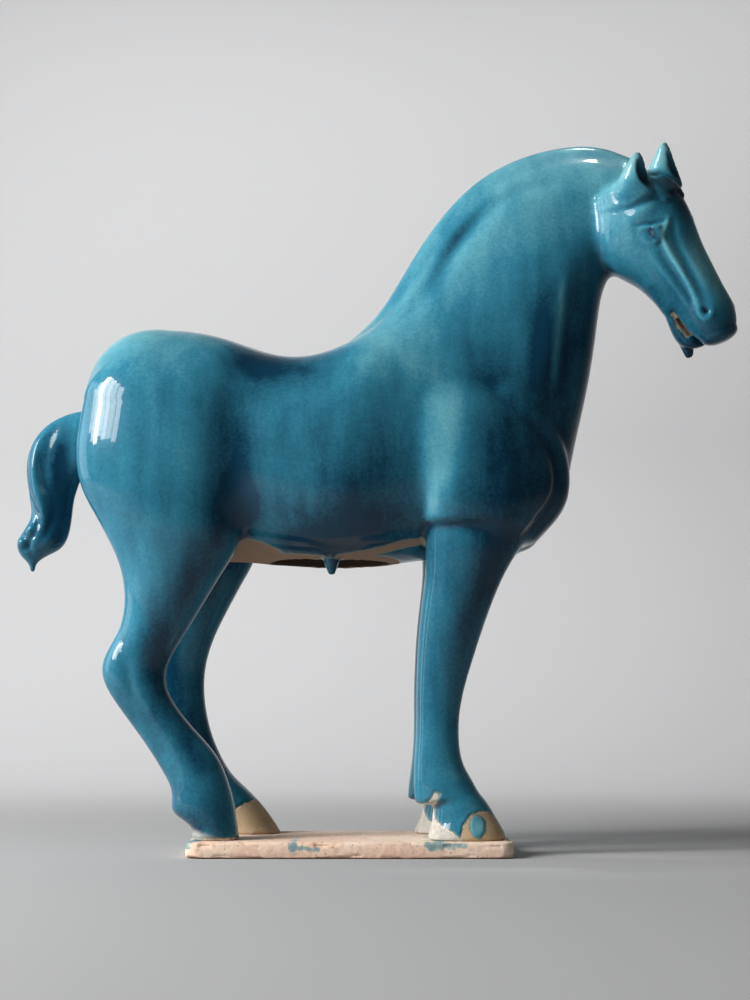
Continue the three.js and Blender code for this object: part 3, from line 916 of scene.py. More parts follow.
# Where the slip shows at the broken back of the fore fetlock, and the bare arch of the fore
# hoof, as x and z.
SLIP_OUTLINE = [(42, 25.5), (46, 27), (51, 22.5), (56, 26), (61, 33), (64, 32.5), (60.5, 24),
                (60.5, 16), (65, 9.5), (73, 5.5), (80, 0), (80, -3), (36, -3)]
HOOF_OUTLINE = [(78, -3), (79, 1.5), (80.5, 9.6), (85.6, 17.3), (92.7, 19.9), (99.8, 19.4),
                (105, 14.5), (108.6, 6), (110.5, 1.5), (112, -3)]
# Bare clay round the opening: middle x and y, and radii.
BARE_PATCHES = (((-16, 0), (53, 41.5)), ((-70, -6), (32, 36)), ((20, -40), (34, 4.2)))
# The middle, x and z, of the drop of glaze that ran down on each fore hoof.
HOOF_DROP = (91.3, 9.6)
# How far inside a zone the points lie that are nowhere near it, in mm.
NOWHERE = -9.0


def finish_zones(form, p):
    """How far inside the glaze, the tan hooves, the slip and the painted shade points lie, in mm.

    Where zones or their patches overlap the greatest of the distances counts, and where one
    cuts another the least.
    """
    x, y, z = p.T
    far = y > 0
    fore_x = x - np.where(far, far_foot_shift(z), 0)
    bare_belly = np.maximum.reduce([round_patch(x, y, *patch, 2.3) for patch in BARE_PATCHES])
    upper_edge = 224 - z
    lower_edge = z - 193 - 0.6 * np.maximum(0, -78 - x)
    round_the_drop = np.maximum(np.hypot(x + 14, y + 38) - 10, z - 203)
    bare_belly = np.minimum.reduce([bare_belly, upper_edge, lower_edge, round_the_drop])
    middle, radii = OPENING
    # Painted shade inside the opening under the belly, whose far side lies in shadow.
    painted_shade = np.minimum(round_patch(x, y, middle[:2], radii[:2], 2.0), 226 - z)
    sole = 0.9 - z
    hoof, slip, mouth = (np.full(len(p), NOWHERE) for _ in range(3))
    low = np.nonzero((x > 20) & (x < 125) & (z < 60))[0]
    flat = np.column_stack([fore_x[low], z[low]])
    hoof[low] = outline_distance(flat, HOOF_OUTLINE)
    slip[low] = outline_distance(flat, SLIP_OUTLINE)
    behind = (x < 0) & far & (z < 60)
    hoof = np.where(behind, round_patch(x, z, (-52, -2), (40, 28), 3.0), hoof)
    drop = round_patch(fore_x, z, HOOF_DROP, (6.4, 8.8), 2.0)
    drop = np.where((x > 0) & (np.abs(y) > 41), drop, NOWHERE)
    in_head = form.in_head(p)
    for flank in form.mouths:
        near = np.nonzero(flank.near(in_head))[0]
        away = flank.distance(in_head[near])
        mouth[near] = np.maximum(mouth[near], 0.4 - np.abs(away - 0.1))
        # Painted shade inside the mouth.
        painted_shade[near] = np.maximum(painted_shade[near], (0.2 - away) * 2)
    mouth = np.minimum(mouth, 119 - in_head[:, 0])
    bare = np.maximum.reduce([bare_belly, sole, hoof, slip, mouth])
    film = np.where((x < -60) & ~far, 8.0 - 0.36 * (x + 113) - z, NOWHERE)
    return {
        "glaze_edge": np.maximum(-bare, drop),
        "hoof": np.maximum(hoof, mouth),
        "slip": np.maximum(slip, film),
        "painted_shade": painted_shade,
    }


# How much paler (above 0) or deeper (below 0) the glaze is than elsewhere: mostly painted light
# and painted shade where the sides turn to or from the light, and some runs of the glaze itself.
# First runs down the sides: x, z, width and amount.
RUNS_AND_PAINTED_LIGHT = [
    # Painted shade down the haunch and the near hind leg.
    [(-84, 240, 17, -0.2), (-108, 203, 16, -0.36), (-128, 168, 15, -0.36), (-139, 134, 15, -0.32),
     (-133, 103, 14, -0.36), (-120, 76, 11, -0.4), (-106, 52, 9, -0.3)],
    # Painted light: the lit streak down the upper arm.
    [(62, 362, 25, 0.06), (68, 338, 22, 0.2), (71, 312, 18, 0.34), (67, 282, 15, 0.4),
     (60, 252, 12, 0.4), (58, 236, 10, 0.3)],
    # Painted shade over the middle of the barrel.
    [(-28, 335, 24, -0.14), (-25, 290, 27, -0.2), (-22, 250, 26, -0.16)],
    # Painted shade on the front of the shoulder and the arm, which face away from the light.
    [(78, 362, 20, -0.1), (94, 342, 28, -0.24), (107, 316, 37, -0.27), (112, 280, 41, -0.38),
     (108, 248, 36, -0.38), (108, 215, 17, -0.3), (99, 185, 12, -0.26), (85, 150, 10, -0.18)],
    # The foreleg.
    [(70, 222, 24, -0.12), (68, 160, 19, -0.12), (66, 110, 15, -0.05)],
    # Painted shade in the hollow of the flank, where the glaze also pools.
    [(-70, 352, 20, -0.32), (-79, 328, 24, -0.34), (-85, 298, 25, -0.36), (-82, 245, 19, -0.44)],
    # Painted shade in the groove under the mane.
    [(106, 484, 4, -0.08), (96, 472, 5, -0.25), (84, 457, 5.5, -0.37), (73, 441, 6, -0.37),
     (66, 425, 6, -0.26), (64, 398, 7, -0.1)],
    # A painted highlight down the front of the neck, and painted shade beside it.
    [(160, 416, 2.5, 0.1), (158, 402, 3.2, 0.6), (155, 375, 3.6, 0.74), (152, 347, 3.2, 0.5),
     (151, 330, 2.5, 0.1)],
    [(146, 408, 9, -0.08), (143, 378, 11, -0.3), (140, 348, 11, -0.34), (134, 322, 12, -0.16)],
    # Painted shade along the back, and along the lower barrel.
    [(-84, 354, 12, -0.25), (-60, 347, 17, -0.5), (-30, 348, 18, -0.5), (2, 360, 14, -0.25)],
    [(28, 305, 22, -0.12), (20, 262, 30, -0.36), (8, 226, 32, -0.45), (-40, 212, 16, -0.3)],
    # Painted shade down the tail, on its side towards the rump.
    [(-220, 300, 8, -0.1), (-221, 278, 10, -0.32), (-220, 250, 9, -0.34), (-226, 224, 8, -0.3)],
]

# Then soft spots: middle, radii and amount, on the body and in the head's own frame. On the body
# they are painted shade on the shoulder and the throat, painted light on the withers and the top
# of the rump, and a paler patch low on the foreleg. On the head they are painted light on the
# cheek and the bridge of the nose, painted shade on the forehead, and the dark eyes, partly glaze
# in the pupils and partly painted shade under the lids.
BODY_SPOTS = [
    ((95, 0, 400), (70, 90, 60), -0.14),
    ((20, 0, 380), (45, 90, 36), 0.12),
    ((-180, 0, 376), (60, 99, 36), 0.16),
    ((70, 0, 70), (40, 90, 36), 0.2),
    ((180, -30, 432), (22, 50, 26), -0.2),
]
HEAD_SPOTS = [
    ((28, 0, -48), (36, 60, 28), 0.42),
    ((84, 0, -9), (34, 15, 9), 0.46),
    ((22, 5, -6), (24, 18, 13), -0.8),
    ((40.4, -24, -21.8), (5.4, 7, 3.2), -1.0),
    ((40.4, 24, -21.8), (5.4, 7, 3.2), -1.0),
]


def soft_spot(p, middle, radii):
    """1 in the middle and fading outwards: exp(-|(P - middle) / radii|^2)."""
    return np.exp(-(((p - middle) / radii) ** 2).sum(1))


def thinning_and_painted_light(form, p):
    """How much paler (above 0) or deeper (below 0) the glaze is than elsewhere: thinner glaze on
    the ears and at the drops on the hooves, and painted light and painted shade on lit and shaded
    faces, in creases and in hollows.
    """
    x, y, z = p.T
    in_head = form.in_head(p)
    ears = smooth_step(-in_head[:, 0], -6, 12) * smooth_step(in_head[:, 2], -42, -30)
    total = 0.5 * ears * ((in_head > (-30, -40, -40)) & (in_head < (14, 40, 12))).all(1)
    for points, spots in ((in_head, HEAD_SPOTS), (p, BODY_SPOTS)):
        for middle, radii, amount in spots:
            total += amount * soft_spot(points, middle, radii)
    total += 0.4 * soft_spot(p[:, ::2], HOOF_DROP, (9, 10)) * (np.abs(y) > 41)
    # Painted shade in the hollows of the ears.
    for hollow in form.hollows:
        near = np.nonzero(hollow.near(in_head))[0]
        total[near] -= 0.5 * (1 - smooth_step(hollow.distance(in_head[near]), 0.3, 1.6))
    # A painted highlight along the ridge from the eye to the nostril.
    line = np.abs(in_head[:, 1]) < 38
    total[line] += 0.15 * stroke(in_head[line][:, ::2], HEAD_STROKES[0])
    total -= 0.12 * smooth_step(-x, 205, 225)
    # Painted shade low on the front of the neck and on the breast, which face away from the light.
    total -= 0.28 * smooth_step(x, 120, 160) * smooth_step(-z, -452, -385)
    # The runs, mostly painted light and shade, are weaker on the far flank.
    near_side = 1 - 0.35 * smooth_step(y, 0, 30)
    for run in RUNS_AND_PAINTED_LIGHT:
        total += near_side * stroke(p[:, ::2], run)
    return total


def mesh_object(name, points, faces, material):
    """A smooth mesh object at the origin, from points in metres and faces alike in size."""
    mesh = bpy.data.meshes.new(name)
    mesh.vertices.add(len(points))
    mesh.vertices.foreach_set("co", points.astype(np.float32).ravel())
    mesh.loops.add(faces.size)
    mesh.loops.foreach_set("vertex_index", faces.astype(np.int32).ravel())
    mesh.polygons.add(len(faces))
    width = faces.shape[1]
    mesh.polygons.foreach_set("loop_start", np.arange(0, faces.size, width, dtype=np.int32))
    mesh.polygons.foreach_set("use_smooth", np.ones(len(faces), bool))
    mesh.update(calc_edges=True)
    mesh.validate()
    mesh.materials.append(material)
    piece = bpy.data.objects.new(name, mesh)
    bpy.context.scene.collection.objects.link(piece)
    return piece


def put_values(piece, name, values):
    """A number for each vertex, kept on the mesh for its material to read."""
    layer = piece.data.attributes.new(name, "FLOAT", "POINT")
    layer.data.foreach_set("value", np.asarray(values, np.float32))


# The noise's lattice repeats after this many cells, and is shifted by this many from the figure.
LATTICE = 32
LATTICE_SHIFT = 101.3


def value_noise(p, size, seed):
    """Smooth noise from -1 to 1: random numbers on a lattice of that size, eased between."""
    table = np.random.default_rng(seed).uniform(-1, 1, (LATTICE,) * 3)
    at = p / size + LATTICE_SHIFT
    cell = np.floor(at).astype(int)
    f = at - cell
    f = f * f * f * (f * (6 * f - 15) + 10)
    total = 0
    for corner in np.ndindex(2, 2, 2):
        weight = np.prod(np.where(np.array(corner) == 1, f, 1 - f), axis=1)
        i, j, k = ((cell + corner) % LATTICE).T
        total = total + weight * table[i, j, k]
    return total


def new_material(name):
    """An empty node material, and the wiring to fill it."""
    material = bpy.data.materials.new(name)
    material.use_nodes = True
    material.node_tree.nodes.clear()
    return material, Wiring(material.node_tree)


def new_group(name, numbers, output):
    """An empty shader group with those numbers as inputs and one output, and its wiring."""
    group = bpy.data.node_groups.new(name, "ShaderNodeTree")
    number = {"socket_type": "NodeSocketFloat"}
    for label, value in numbers.items():
        made = group.interface.new_socket(name=label, in_out="INPUT", **number)
        made.default_value = value
    group.interface.new_socket(name=output, in_out="OUTPUT", **number)
    return group, Wiring(group)


def rgba(colour):
    """A setting's colour as a shader's, which ends with 1 for full cover."""
    return colour[:] + (1,)


class Wiring:
    """Short hand for placing nodes in a tree and joining their sockets."""

    def __init__(self, tree):
        self.tree = tree
        self.count = 0

    def node(self, kind, inputs=None, **settings):
        """A new node, laid out in rows of twelve, with its settings and inputs."""
        made = self.tree.nodes.new(kind)
        self.count += 1
        made.location = (self.count % 12 * 190, -(self.count // 12) * 260)
        for key, value in settings.items():
            setattr(made, key, value)
        for key, value in (inputs or {}).items():
            self.feed(made.inputs[key], value)
        return made

    def feed(self, target, value):
        """Joins a socket to the target, or sets the target to a plain value."""
        if isinstance(value, bpy.types.NodeSocket):
            self.tree.links.new(value, target)
        else:
            target.default_value = value

    def math(self, operation, *values, clamp=False):
        """The result of a sum on one to three values."""
        made = self.node("ShaderNodeMath", operation=operation, use_clamp=clamp)
        for target, value in zip(made.inputs, values):
            self.feed(target, value)
        return made.outputs[0]

    def ramp(self, value, low, high, start=0.0, end=1.0):
        """start below low, end above high, eased between."""
        inputs = dict(enumerate((value, low, high, start, end)))
        return self.node("ShaderNodeMapRange", inputs, interpolation_type="SMOOTHSTEP").outputs[0]

    def mix(self, share, a, b):
        """Colour a, with that share of colour b."""
        return self.node("ShaderNodeMix", {0: share, 6: a, 7: b}, data_type="RGBA").outputs[2]

    def attribute(self, name):
        """A value that the mesh keeps for each vertex."""
        return self.node("ShaderNodeAttribute", attribute_name=name).outputs["Fac"]

    def place(self):
        """Object coordinates, in metres."""
        return self.node("ShaderNodeTexCoord").outputs["Object"]

    def along(self, vector, axis):
        """A vector's coordinate along one axis."""
        return self.node("ShaderNodeSeparateXYZ", {0: vector}).outputs[axis]

    def group(self, group, **inputs):
        """The output of a group placed with its own values."""
        inputs = {key.replace("_", " "): value for key, value in inputs.items()}
        return self.node("ShaderNodeGroup", inputs, node_tree=group).outputs[0]


def mottle_group():
    """Soft blotches: noise on Object coordinates stretched along Z, from 0 to 1."""
    if "Mottle" in bpy.data.node_groups:
        return bpy.data.node_groups["Mottle"]
    numbers = {"Scale": 20.0, "Upright Stretch": 1.0, "Detail": 3.0, "Contrast": 1.0}
    group, w = new_group("Mottle", numbers, "Value")
    group.interface.new_socket(name="Shift", socket_type="NodeSocketVector", in_out="INPUT")
    given = w.node("NodeGroupInput").outputs
    stretch = w.node("ShaderNodeCombineXYZ", {
        0: 1.0, 1: 1.0, 2: w.math("DIVIDE", 1.0, given["Upright Stretch"])})
    moved = w.node("ShaderNodeMapping", {
        "Vector": w.place(), "Location": given["Shift"], "Scale": stretch.outputs[0]})
    noise = w.node("ShaderNodeTexNoise", {
        "Vector": moved.outputs[0], "Scale": given["Scale"], "Detail": given["Detail"]})
    away = w.math("SUBTRACT", noise.outputs["Fac"], 0.5)
    value = w.math("MULTIPLY_ADD", away, given["Contrast"], 0.5, clamp=True)
    w.node("NodeGroupOutput", {"Value": value})
    return group


def speck_group():
    """Small round specks strewn at random: 1 in a speck, 0 elsewhere."""
    if "Specks" in bpy.data.node_groups:
        return bpy.data.node_groups["Specks"]
    group, w = new_group("Specks", {"Scale": 300.0, "Size": 0.25, "Share": 0.3}, "Mask")
    given = w.node("NodeGroupInput").outputs
    cells = w.node("ShaderNodeTexVoronoi", {"Vector": w.place(), "Scale": given["Scale"]})
    chance = w.node("ShaderNodeSeparateColor", {0: cells.outputs["Color"]})
    size = w.math("MULTIPLY", given["Size"], w.math("ADD", 0.5, chance.outputs[1]))
    inside = w.ramp(cells.outputs["Distance"], w.math("MULTIPLY", size, 0.6), size, 1.0, 0.0)
    chosen = w.math("LESS_THAN", chance.outputs[0], given["Share"])
    w.node("NodeGroupOutput", {"Mask": w.math("MULTIPLY", inside, chosen)})
    return group


def clay_colours(w, mottle, specks, clay):
    """Colour and height of the bare clay: pinkish buff, paler and greyer in patches, pitted."""
    broad = w.group(mottle, Scale=26.0, Contrast=2.2, Detail=4.0)
    fine = w.group(mottle, Scale=240.0, Contrast=1.6, Detail=5.0, Shift=(3, 1, 2))
    tone = w.mix(broad, rgba(clay.clay_colour), rgba(clay.clay_pale))
    tone = w.mix(w.ramp(fine, 0.2, 0.5, 0.28, 0.0), tone, rgba(clay.clay_dirt_and_shade))
    pits = w.group(specks, Scale=420.0, Size=0.3, Share=0.16)
    tone = w.mix(w.math("MULTIPLY", pits, 0.7), tone, rgba(clay.clay_dirt_and_shade))
    height = w.math("SUBTRACT", w.math("MULTIPLY", fine, 0.6), pits)
    return tone, height


def glaze_tone_and_painted_light(w, mottle, blotch, upright):
    """How pale the glaze is, from 0 to 1: paler high on the figure and on upward faces, partly
    thin glaze and partly painted light from above, and deeper low down, partly painted shade.

    Blotches, upright runs and a fine grain vary it, it is deeper in hollows, where it pools and
    where painted shade is laid, and the vertex value thinning_and_painted_light is added.
    """
    facing = w.along(w.node("ShaderNodeNewGeometry").outputs["Normal"], 2)
    # Paler high up and deeper low down: partly glaze that drained, partly painted light above and
    # painted shade below.
    height = w.math("ADD", w.ramp(upright, 0.03, 0.30, -0.14, 0.0),
                    w.ramp(upright, 0.30, 0.52, 0.0, 0.14))
    # Painted light: faces turned upwards are paler, as if lit from above.
    up = w.ramp(facing, -0.5, 0.9, -0.16, 0.12)
    runs = w.group(mottle, Scale=75.0, Contrast=1.5, Detail=3.0, Upright_Stretch=7.0,
                   Shift=(1, 4, 2))
    grain = w.group(mottle, Scale=420.0, Contrast=1.3, Detail=3.0, Shift=(2, 2, 2))
    # Deeper in hollows and a little paler on bulges: pooled glaze, and painted shade in the
    # hollows.
    pooled = w.ramp(w.attribute("hollow_near"), -0.6, 2.2, 0.08, -0.36)
    thin = w.math("ADD", 0.45, height)
    for part in (up, pooled, w.attribute("thinning_and_painted_light")):
        thin = w.math("ADD", thin, part)
    for part, share in ((blotch, 0.5), (runs, 0.3), (grain, 0.24)):
        thin = w.math("MULTIPLY_ADD", w.math("SUBTRACT", part, 0.5), share, thin)
    return w.math("ADD", thin, 0.0, clamp=True)


PIN_MARK = (0.02, 0.06, 0.09, 1)
# Near black of the painted shade in the opening and in the mouth.
PAINTED_SHADE_COLOUR = (0.02, 0.014, 0.01, 1)


def glaze_tint(w, settings, thin, body, slip_edge, pin):
    """Colour of the glaze from deep to thin, with worn ridges, pin marks, a film and the rim.

    thin runs from 0 to 1 and carries painted light and painted shade as well as the glaze's
    thickness, body is 0 at the glaze's edge and 1 where it's full, slip_edge is the distance
    inside the slip, which makes a pale film, and pin is 1 in a pin mark.
    """
    glaze = settings.glaze
    tones = w.node("ShaderNodeValToRGB", {0: thin})
    stops = tones.color_ramp.elements
    stops.new(0.5)
    for stop, shade in zip(stops, (glaze.deep_colour, glaze.middle_colour, glaze.thin_colour)):
        stop.color = rgba(shade)
    # The worn tint follows thinning_and_painted_light: the thin glaze of the ears, and also the
    # strongest painted highlights, as on the cheek, the nose and the neck.
    worn = w.ramp(w.attribute("thinning_and_painted_light"), 0.3, 0.6, 0.0, 0.66)
    tint = w.mix(worn, tones.outputs[0], rgba(glaze.worn_colour))
    tint = w.mix(w.math("MULTIPLY", pin, 0.45), tint, PIN_MARK)
    film = w.ramp(slip_edge, -2.5, 3.5, 0.0, 0.62)
    tint = w.mix(film, tint, rgba(settings.clay.slip_colour))
    return w.mix(w.ramp(body, 0.0, 0.7, 0.75, 0.0), tint, rgba(glaze.rim_colour))


def bare_ground(w, mottle, specks, clay, upright, tan, slip_edge):
    """Colour and height of what the glaze leaves bare.

    That is the clay, the tan hooves and the chalky slip at the feet, with painted shade on the
    bare clay above the feet, under the belly and in the mouth, and near black painted shade inside
    the opening and the mouth.
    """
    ground, height = clay_colours(w, mottle, specks, clay)
    horn_blotch = w.group(mottle, Scale=60.0, Contrast=2.0, Detail=3.0)
    horn = w.mix(horn_blotch, rgba(clay.hoof_colour), rgba(clay.hoof_pale))
    chalk = w.mix(w.ramp(height, 0.0, 0.5), rgba(clay.slip_shade), rgba(clay.slip_colour))
    ground = w.mix(tan, ground, horn)
    ground = w.mix(w.ramp(slip_edge, -0.8, 0.8), ground, chalk)
    # Painted shade: bare clay above the feet, under the belly and in the mouth, is darkened to the
    # dirt colour.
    ground = w.mix(w.ramp(upright, 0.06, 0.16, 0.0, 0.9), ground, rgba(clay.clay_dirt_and_shade))
    # Near black painted shade inside the opening and the mouth.
    ground = w.mix(w.ramp(w.attribute("painted_shade"), -0.2, 1.2, 0.0, 0.93), ground, PAINTED_SHADE_COLOUR)
    return ground, height


def glazed_material(settings):
    """Turquoise glaze over clay: where the glaze stops, the clay, the slip and the tan hooves.

    The glaze is paler where it lies thin, on raised and upward faces, and deeper where it pools,
    in hollows and low on the figure; part of this is painted light from above and painted shade
    below and in hollows. Its edge is the vertex value glaze_edge in millimetres, made ragged by
    noise, with a thin pale brown rim.
    """
    material, w = new_material("turquoise_glaze")
    mottle, specks = mottle_group(), speck_group()
    upright = w.along(w.place(), 2)
    ragged = w.group(mottle, Scale=210.0, Contrast=2.0, Detail=4.0, Shift=(5, 2, 7))
    wander = w.math("MULTIPLY_ADD", ragged, 1.3, -0.65)
    edge, hoof_edge, slip_edge = (
        w.math("ADD", w.attribute(name), wander) for name in ("glaze_edge", "hoof", "slip"))
    cover = w.ramp(edge, -0.15, 0.25)
    body = w.ramp(edge, 0.1, 2.6)
    tan = w.ramp(hoof_edge, -0.3, 0.6)
    blotch = w.group(mottle, Scale=13.0, Contrast=1.5, Detail=4.0)
    pin = w.group(specks, Scale=520.0, Size=0.22, Share=0.10)
    thin = glaze_tone_and_painted_light(w, mottle, blotch, upright)
    tint = glaze_tint(w, settings, thin, body, slip_edge, pin)
    ground, clay_height = bare_ground(w, mottle, specks, settings.clay, upright, tan, slip_edge)

    roughness = settings.glaze.roughness
    shine = w.ramp(blotch, 0.2, 0.8, roughness * 0.8, roughness * 1.3)
    dull = w.math("MULTIPLY_ADD", tan, -0.35, 0.88)
    waves = w.group(mottle, Scale=62.0, Contrast=1.0, Detail=2.0, Shift=(4, 4, 1))
    orange_peel = w.group(mottle, Scale=700.0, Contrast=1.0, Detail=1.0, Shift=(1, 0, 3))
    skin = w.math("ADD", w.math("MULTIPLY_ADD", orange_peel, 0.10, waves), 2.2)
    skin = w.math("SUBTRACT", skin, w.math("MULTIPLY", pin, 0.3))
    rough = w.math("MULTIPLY", clay_height, 0.9)
    relief = w.math("ADD", w.math("MULTIPLY", skin, body),
                    w.math("MULTIPLY", rough, w.math("SUBTRACT", 1.0, body)))
    bump = w.node("ShaderNodeBump", {"Strength": 1.0, "Distance": 0.00032, "Height": relief})
    shader = w.node("ShaderNodeBsdfPrincipled", {
        "Base Color": w.mix(cover, ground, tint),
        "Roughness": w.ramp(cover, 0.0, 1.0, dull, shine),
        "IOR": 1.5,
        "Specular IOR Level": 0.08,
        "Coat Weight": w.math("MULTIPLY", cover, 0.6),
        "Coat Roughness": 0.05,
        "Normal": bump.outputs[0]})
    w.node("ShaderNodeOutputMaterial", {"Surface": shader.outputs[0]})
    return material


# Radii of the slab's upper and lower edges, in mm.
UPPER_ROUND = 2.6
LOWER_ROUND = 1.8


def slab_surface(low, high, corner, around=880):
    """The slab's closed surface as a grid of points: v from the top's middle to the bottom's.

    u runs round a rectangle with corners of that radius. A profile is carried round it: in on
    the top, over the upper edge's quarter round, down the side, round the lower edge and in
    under it. Inside the rounds the rectangle shrinks towards the middle. Then the points sink
    along the normal by noise, most on the edges, as chips and wear do.
    """
    middle, half = (low + high) / 2, (high - low) / 2
    straight = 2 * (half[:2] - corner)
    lengths = np.array([straight[0], corner * math.pi / 2, straight[1], corner * math.pi / 2] * 2)
    starts = np.concatenate([[0], np.cumsum(lengths)])
    u = np.linspace(0, starts[-1], around, endpoint=False)
    side = np.clip(np.searchsorted(starts, u, side="right") - 1, 0, 7)
    along = u - starts[side]
    turn = (side // 2) * math.pi / 2 - math.pi / 2 + np.where(side % 2, along / corner, 0)
    out = np.stack([np.cos(turn), np.sin(turn)], 1)
    signs = np.array([(-1, -1), (1, -1), (1, -1), (1, 1), (1, 1), (-1, 1), (-1, 1), (-1, -1)])
    centre = signs[side] * (half[:2] - corner)
    way = np.stack([-out[:, 1], out[:, 0]], 1)
    path = centre + corner * out + np.where(side % 2, 0, along)[:, None] * way
    quarter = np.linspace(0, math.pi / 2, 9)
    top = [(shrink, 0, 0) for shrink in np.linspace(0, 1, 46)[:-1]]
    over = [(1, UPPER_ROUND * (1 - math.sin(a)), UPPER_ROUND * (1 - math.cos(a)))
            for a in quarter]
    height = high[2] - low[2]
    side_depths = np.linspace(UPPER_ROUND, height - LOWER_ROUND, 12)[1:-1]
    down = [(1, 0, depth) for depth in side_depths]
    under = [(1, LOWER_ROUND * (1 - math.cos(a)), height - LOWER_ROUND * (1 - math.sin(a)))
             for a in quarter]
    bottom = [(shrink, 0, height) for shrink in np.linspace(1, 0, 20)[1:]]
    rows = np.array(top + over + down + under + bottom)
    rim = np.where(rows[:, 1] > 0, rows[:, 1], 0)
    rim[: len(top)] = UPPER_ROUND
    rim[-len(bottom) :] = LOWER_ROUND
    inner = path[None] - rim[:, None, None] * out[None]
    flat = inner * np.where(rows[:, 0] < 1, rows[:, 0], 1)[:, None, None]
    depth = np.broadcast_to(rows[:, 2, None], flat.shape[:2])
    grid = np.concatenate([flat + middle[:2], (high[2] - depth)[..., None]], -1)
    on_side = (rows[:, 0] == 1)[:, None]
    upper = np.clip(1 - np.abs(depth - 2.0) / 3.0, 0, 1) * on_side
    lower = np.clip(1 - np.abs(height - depth - 1.4) / 2.6, 0, 1) * on_side
    points = grid.reshape(-1, 3)
    broad = value_noise(points, 38.0, 5).reshape(depth.shape)
    lumps = value_noise(points, 9.0, 6).reshape(depth.shape)
    fine = value_noise(points, 2.6, 7).reshape(depth.shape)
    chip = smooth_step(lumps + 0.5 * broad, 0.25, 0.8)
    wear = 0.12 + 0.10 * fine + on_side * (0.45 + 0.35 * broad + 0.16 * lumps)
    wear = wear + (0.3 + 1.5 * chip) * upper + (0.3 + 1.9 * smooth_step(-lumps, 0.1, 0.7)) * lower
    ahead, behind = np.roll(grid, -1, 1), np.roll(grid, 1, 1)
    normal = np.cross(ahead - behind, np.gradient(grid, axis=0))
    length = np.linalg.norm(normal, axis=2, keepdims=True)
    normal = normal / np.maximum(length, 1e-6)
    outwards = np.sign((normal[:, :, 2] * np.where(depth < height / 2, 1, -1)).mean())
    normal *= outwards
    normal[0], normal[-1] = (0, 0, 1), (0, 0, -1)
    return grid - normal * np.maximum(wear, 0)[..., None]


def closed_grid(grid):
    """Points and triangles of a grid that closes on itself along u, and at a point at each end."""
    rows, around = grid.shape[:2]
    points = np.concatenate([grid[0, :1], grid[1:-1].reshape(-1, 3), grid[-1, :1]])
    ring = 1 + np.arange((rows - 2) * around).reshape(rows - 2, around)
    after = np.roll(ring, -1, 1)
    a, b, c, d = ring[:-1], ring[1:], after[1:], after[:-1]
    faces = [np.stack([a, b, c], -1).reshape(-1, 3), np.stack([a, c, d], -1).reshape(-1, 3)]
    first, last = np.zeros(around, int), np.full(around, len(points) - 1)
    faces.append(np.stack([first, ring[0], after[0]], -1))
    faces.append(np.stack([last, after[-1], ring[-1]], -1))
    return points, np.concatenate(faces)


# Splashes of glaze on the slab's near side: middle x and z, and radii.
SPLASHES = [
    ((-39.5, -3.8), (4.2, 5.4)),
    ((-28.5, -5.2), (12, 2.6)),
    ((66, -3.0), (16, 4.0)),
]


def splash_zones(p):
    """How far inside the splashes of glaze the slab's points lie, in mm: the greatest counts."""
    x, y, z = p.T
    inside = np.maximum.reduce([round_patch(x, z, *splash, 2.0) for splash in SPLASHES])
    inside = np.where(y < 0, np.maximum(inside, NOWHERE), NOWHERE)
    heel = np.hypot((x + 112) / 9, (y + 52) / 14)
    return np.maximum(inside, np.where(z > -6, (1 - heel) * 6, NOWHERE))


SPLASH_THIN = (0.20, 0.40, 0.40, 1)
SPLASH_DEEP = (0.045, 0.24, 0.30, 1)


def slab_material(settings):
    """Bare clay of the slab with thin splashes of glaze and dirt along its lower edge."""
    material, w = new_material("bare_clay")
    mottle, specks = mottle_group(), speck_group()
    clay, relief = clay_colours(w, mottle, specks, settings.clay)
    ragged = w.group(mottle, Scale=150.0, Contrast=2.4, Detail=5.0, Shift=(5, 2, 7))
    edge = w.math("ADD", w.attribute("splash"), w.math("MULTIPLY_ADD", ragged, 3.6, -2.2))
    cover = w.ramp(edge, -0.2, 0.9, 0.0, 0.78)
    tint = w.mix(w.ramp(edge, 0.2, 2.4), SPLASH_THIN, SPLASH_DEEP)
    blush = w.group(mottle, Scale=34.0, Contrast=2.4, Detail=3.0, Shift=(8, 3, 1))
    blush = w.math("ADD", blush, w.ramp(w.along(w.place(), 2), 0.0, 0.011, 0.22, -0.12))
    clay = w.mix(w.ramp(blush, 0.4, 0.9, 0.0, 0.6), clay, rgba(settings.clay.blush_colour))
    grime = w.ramp(w.attribute("hollow_near"), 0.08, 0.6, 0.0, 0.55)
    clay = w.mix(grime, clay, rgba(settings.clay.clay_dirt_and_shade))
    bump = w.node("ShaderNodeBump", {"Strength": 1.0, "Distance": 0.0004, "Height": relief})
    shader = w.node("ShaderNodeBsdfPrincipled", {
        "Base Color": w.mix(cover, clay, tint),
        "Roughness": w.ramp(cover, 0.1, 0.8, 0.9, 0.4),
        "Normal": bump.outputs[0]})
    w.node("ShaderNodeOutputMaterial", {"Surface": shader.outputs[0]})
    return material


# Linear greys of the paper: in front of the figure, under it and up the backdrop.
PAPER_FRONT = (0.22, 0.22, 0.22, 1)
PAPER_FLOOR = (0.44, 0.44, 0.44, 1)
PAPER_BACK = (0.60, 0.60, 0.605, 1)


def paper_material():
    """Pale seamless paper, deeper in tone on the floor and deepest in front, clear from behind."""
    material, w = new_material("studio_paper")
    back = w.along(w.place(), 1)
    tone = w.mix(w.ramp(back, 0.3, 1.3), PAPER_FLOOR, PAPER_BACK)
    tone = w.mix(w.ramp(back, -1.2, -0.66), PAPER_FRONT, tone)
    behind = w.node("ShaderNodeNewGeometry").outputs["Backfacing"]
    shader = w.node("ShaderNodeBsdfPrincipled", {
        "Base Color": tone, "Roughness": 0.9, "Alpha": w.math("SUBTRACT", 1.0, behind)})
    w.node("ShaderNodeOutputMaterial", {"Surface": shader.outputs[0]})
    return material


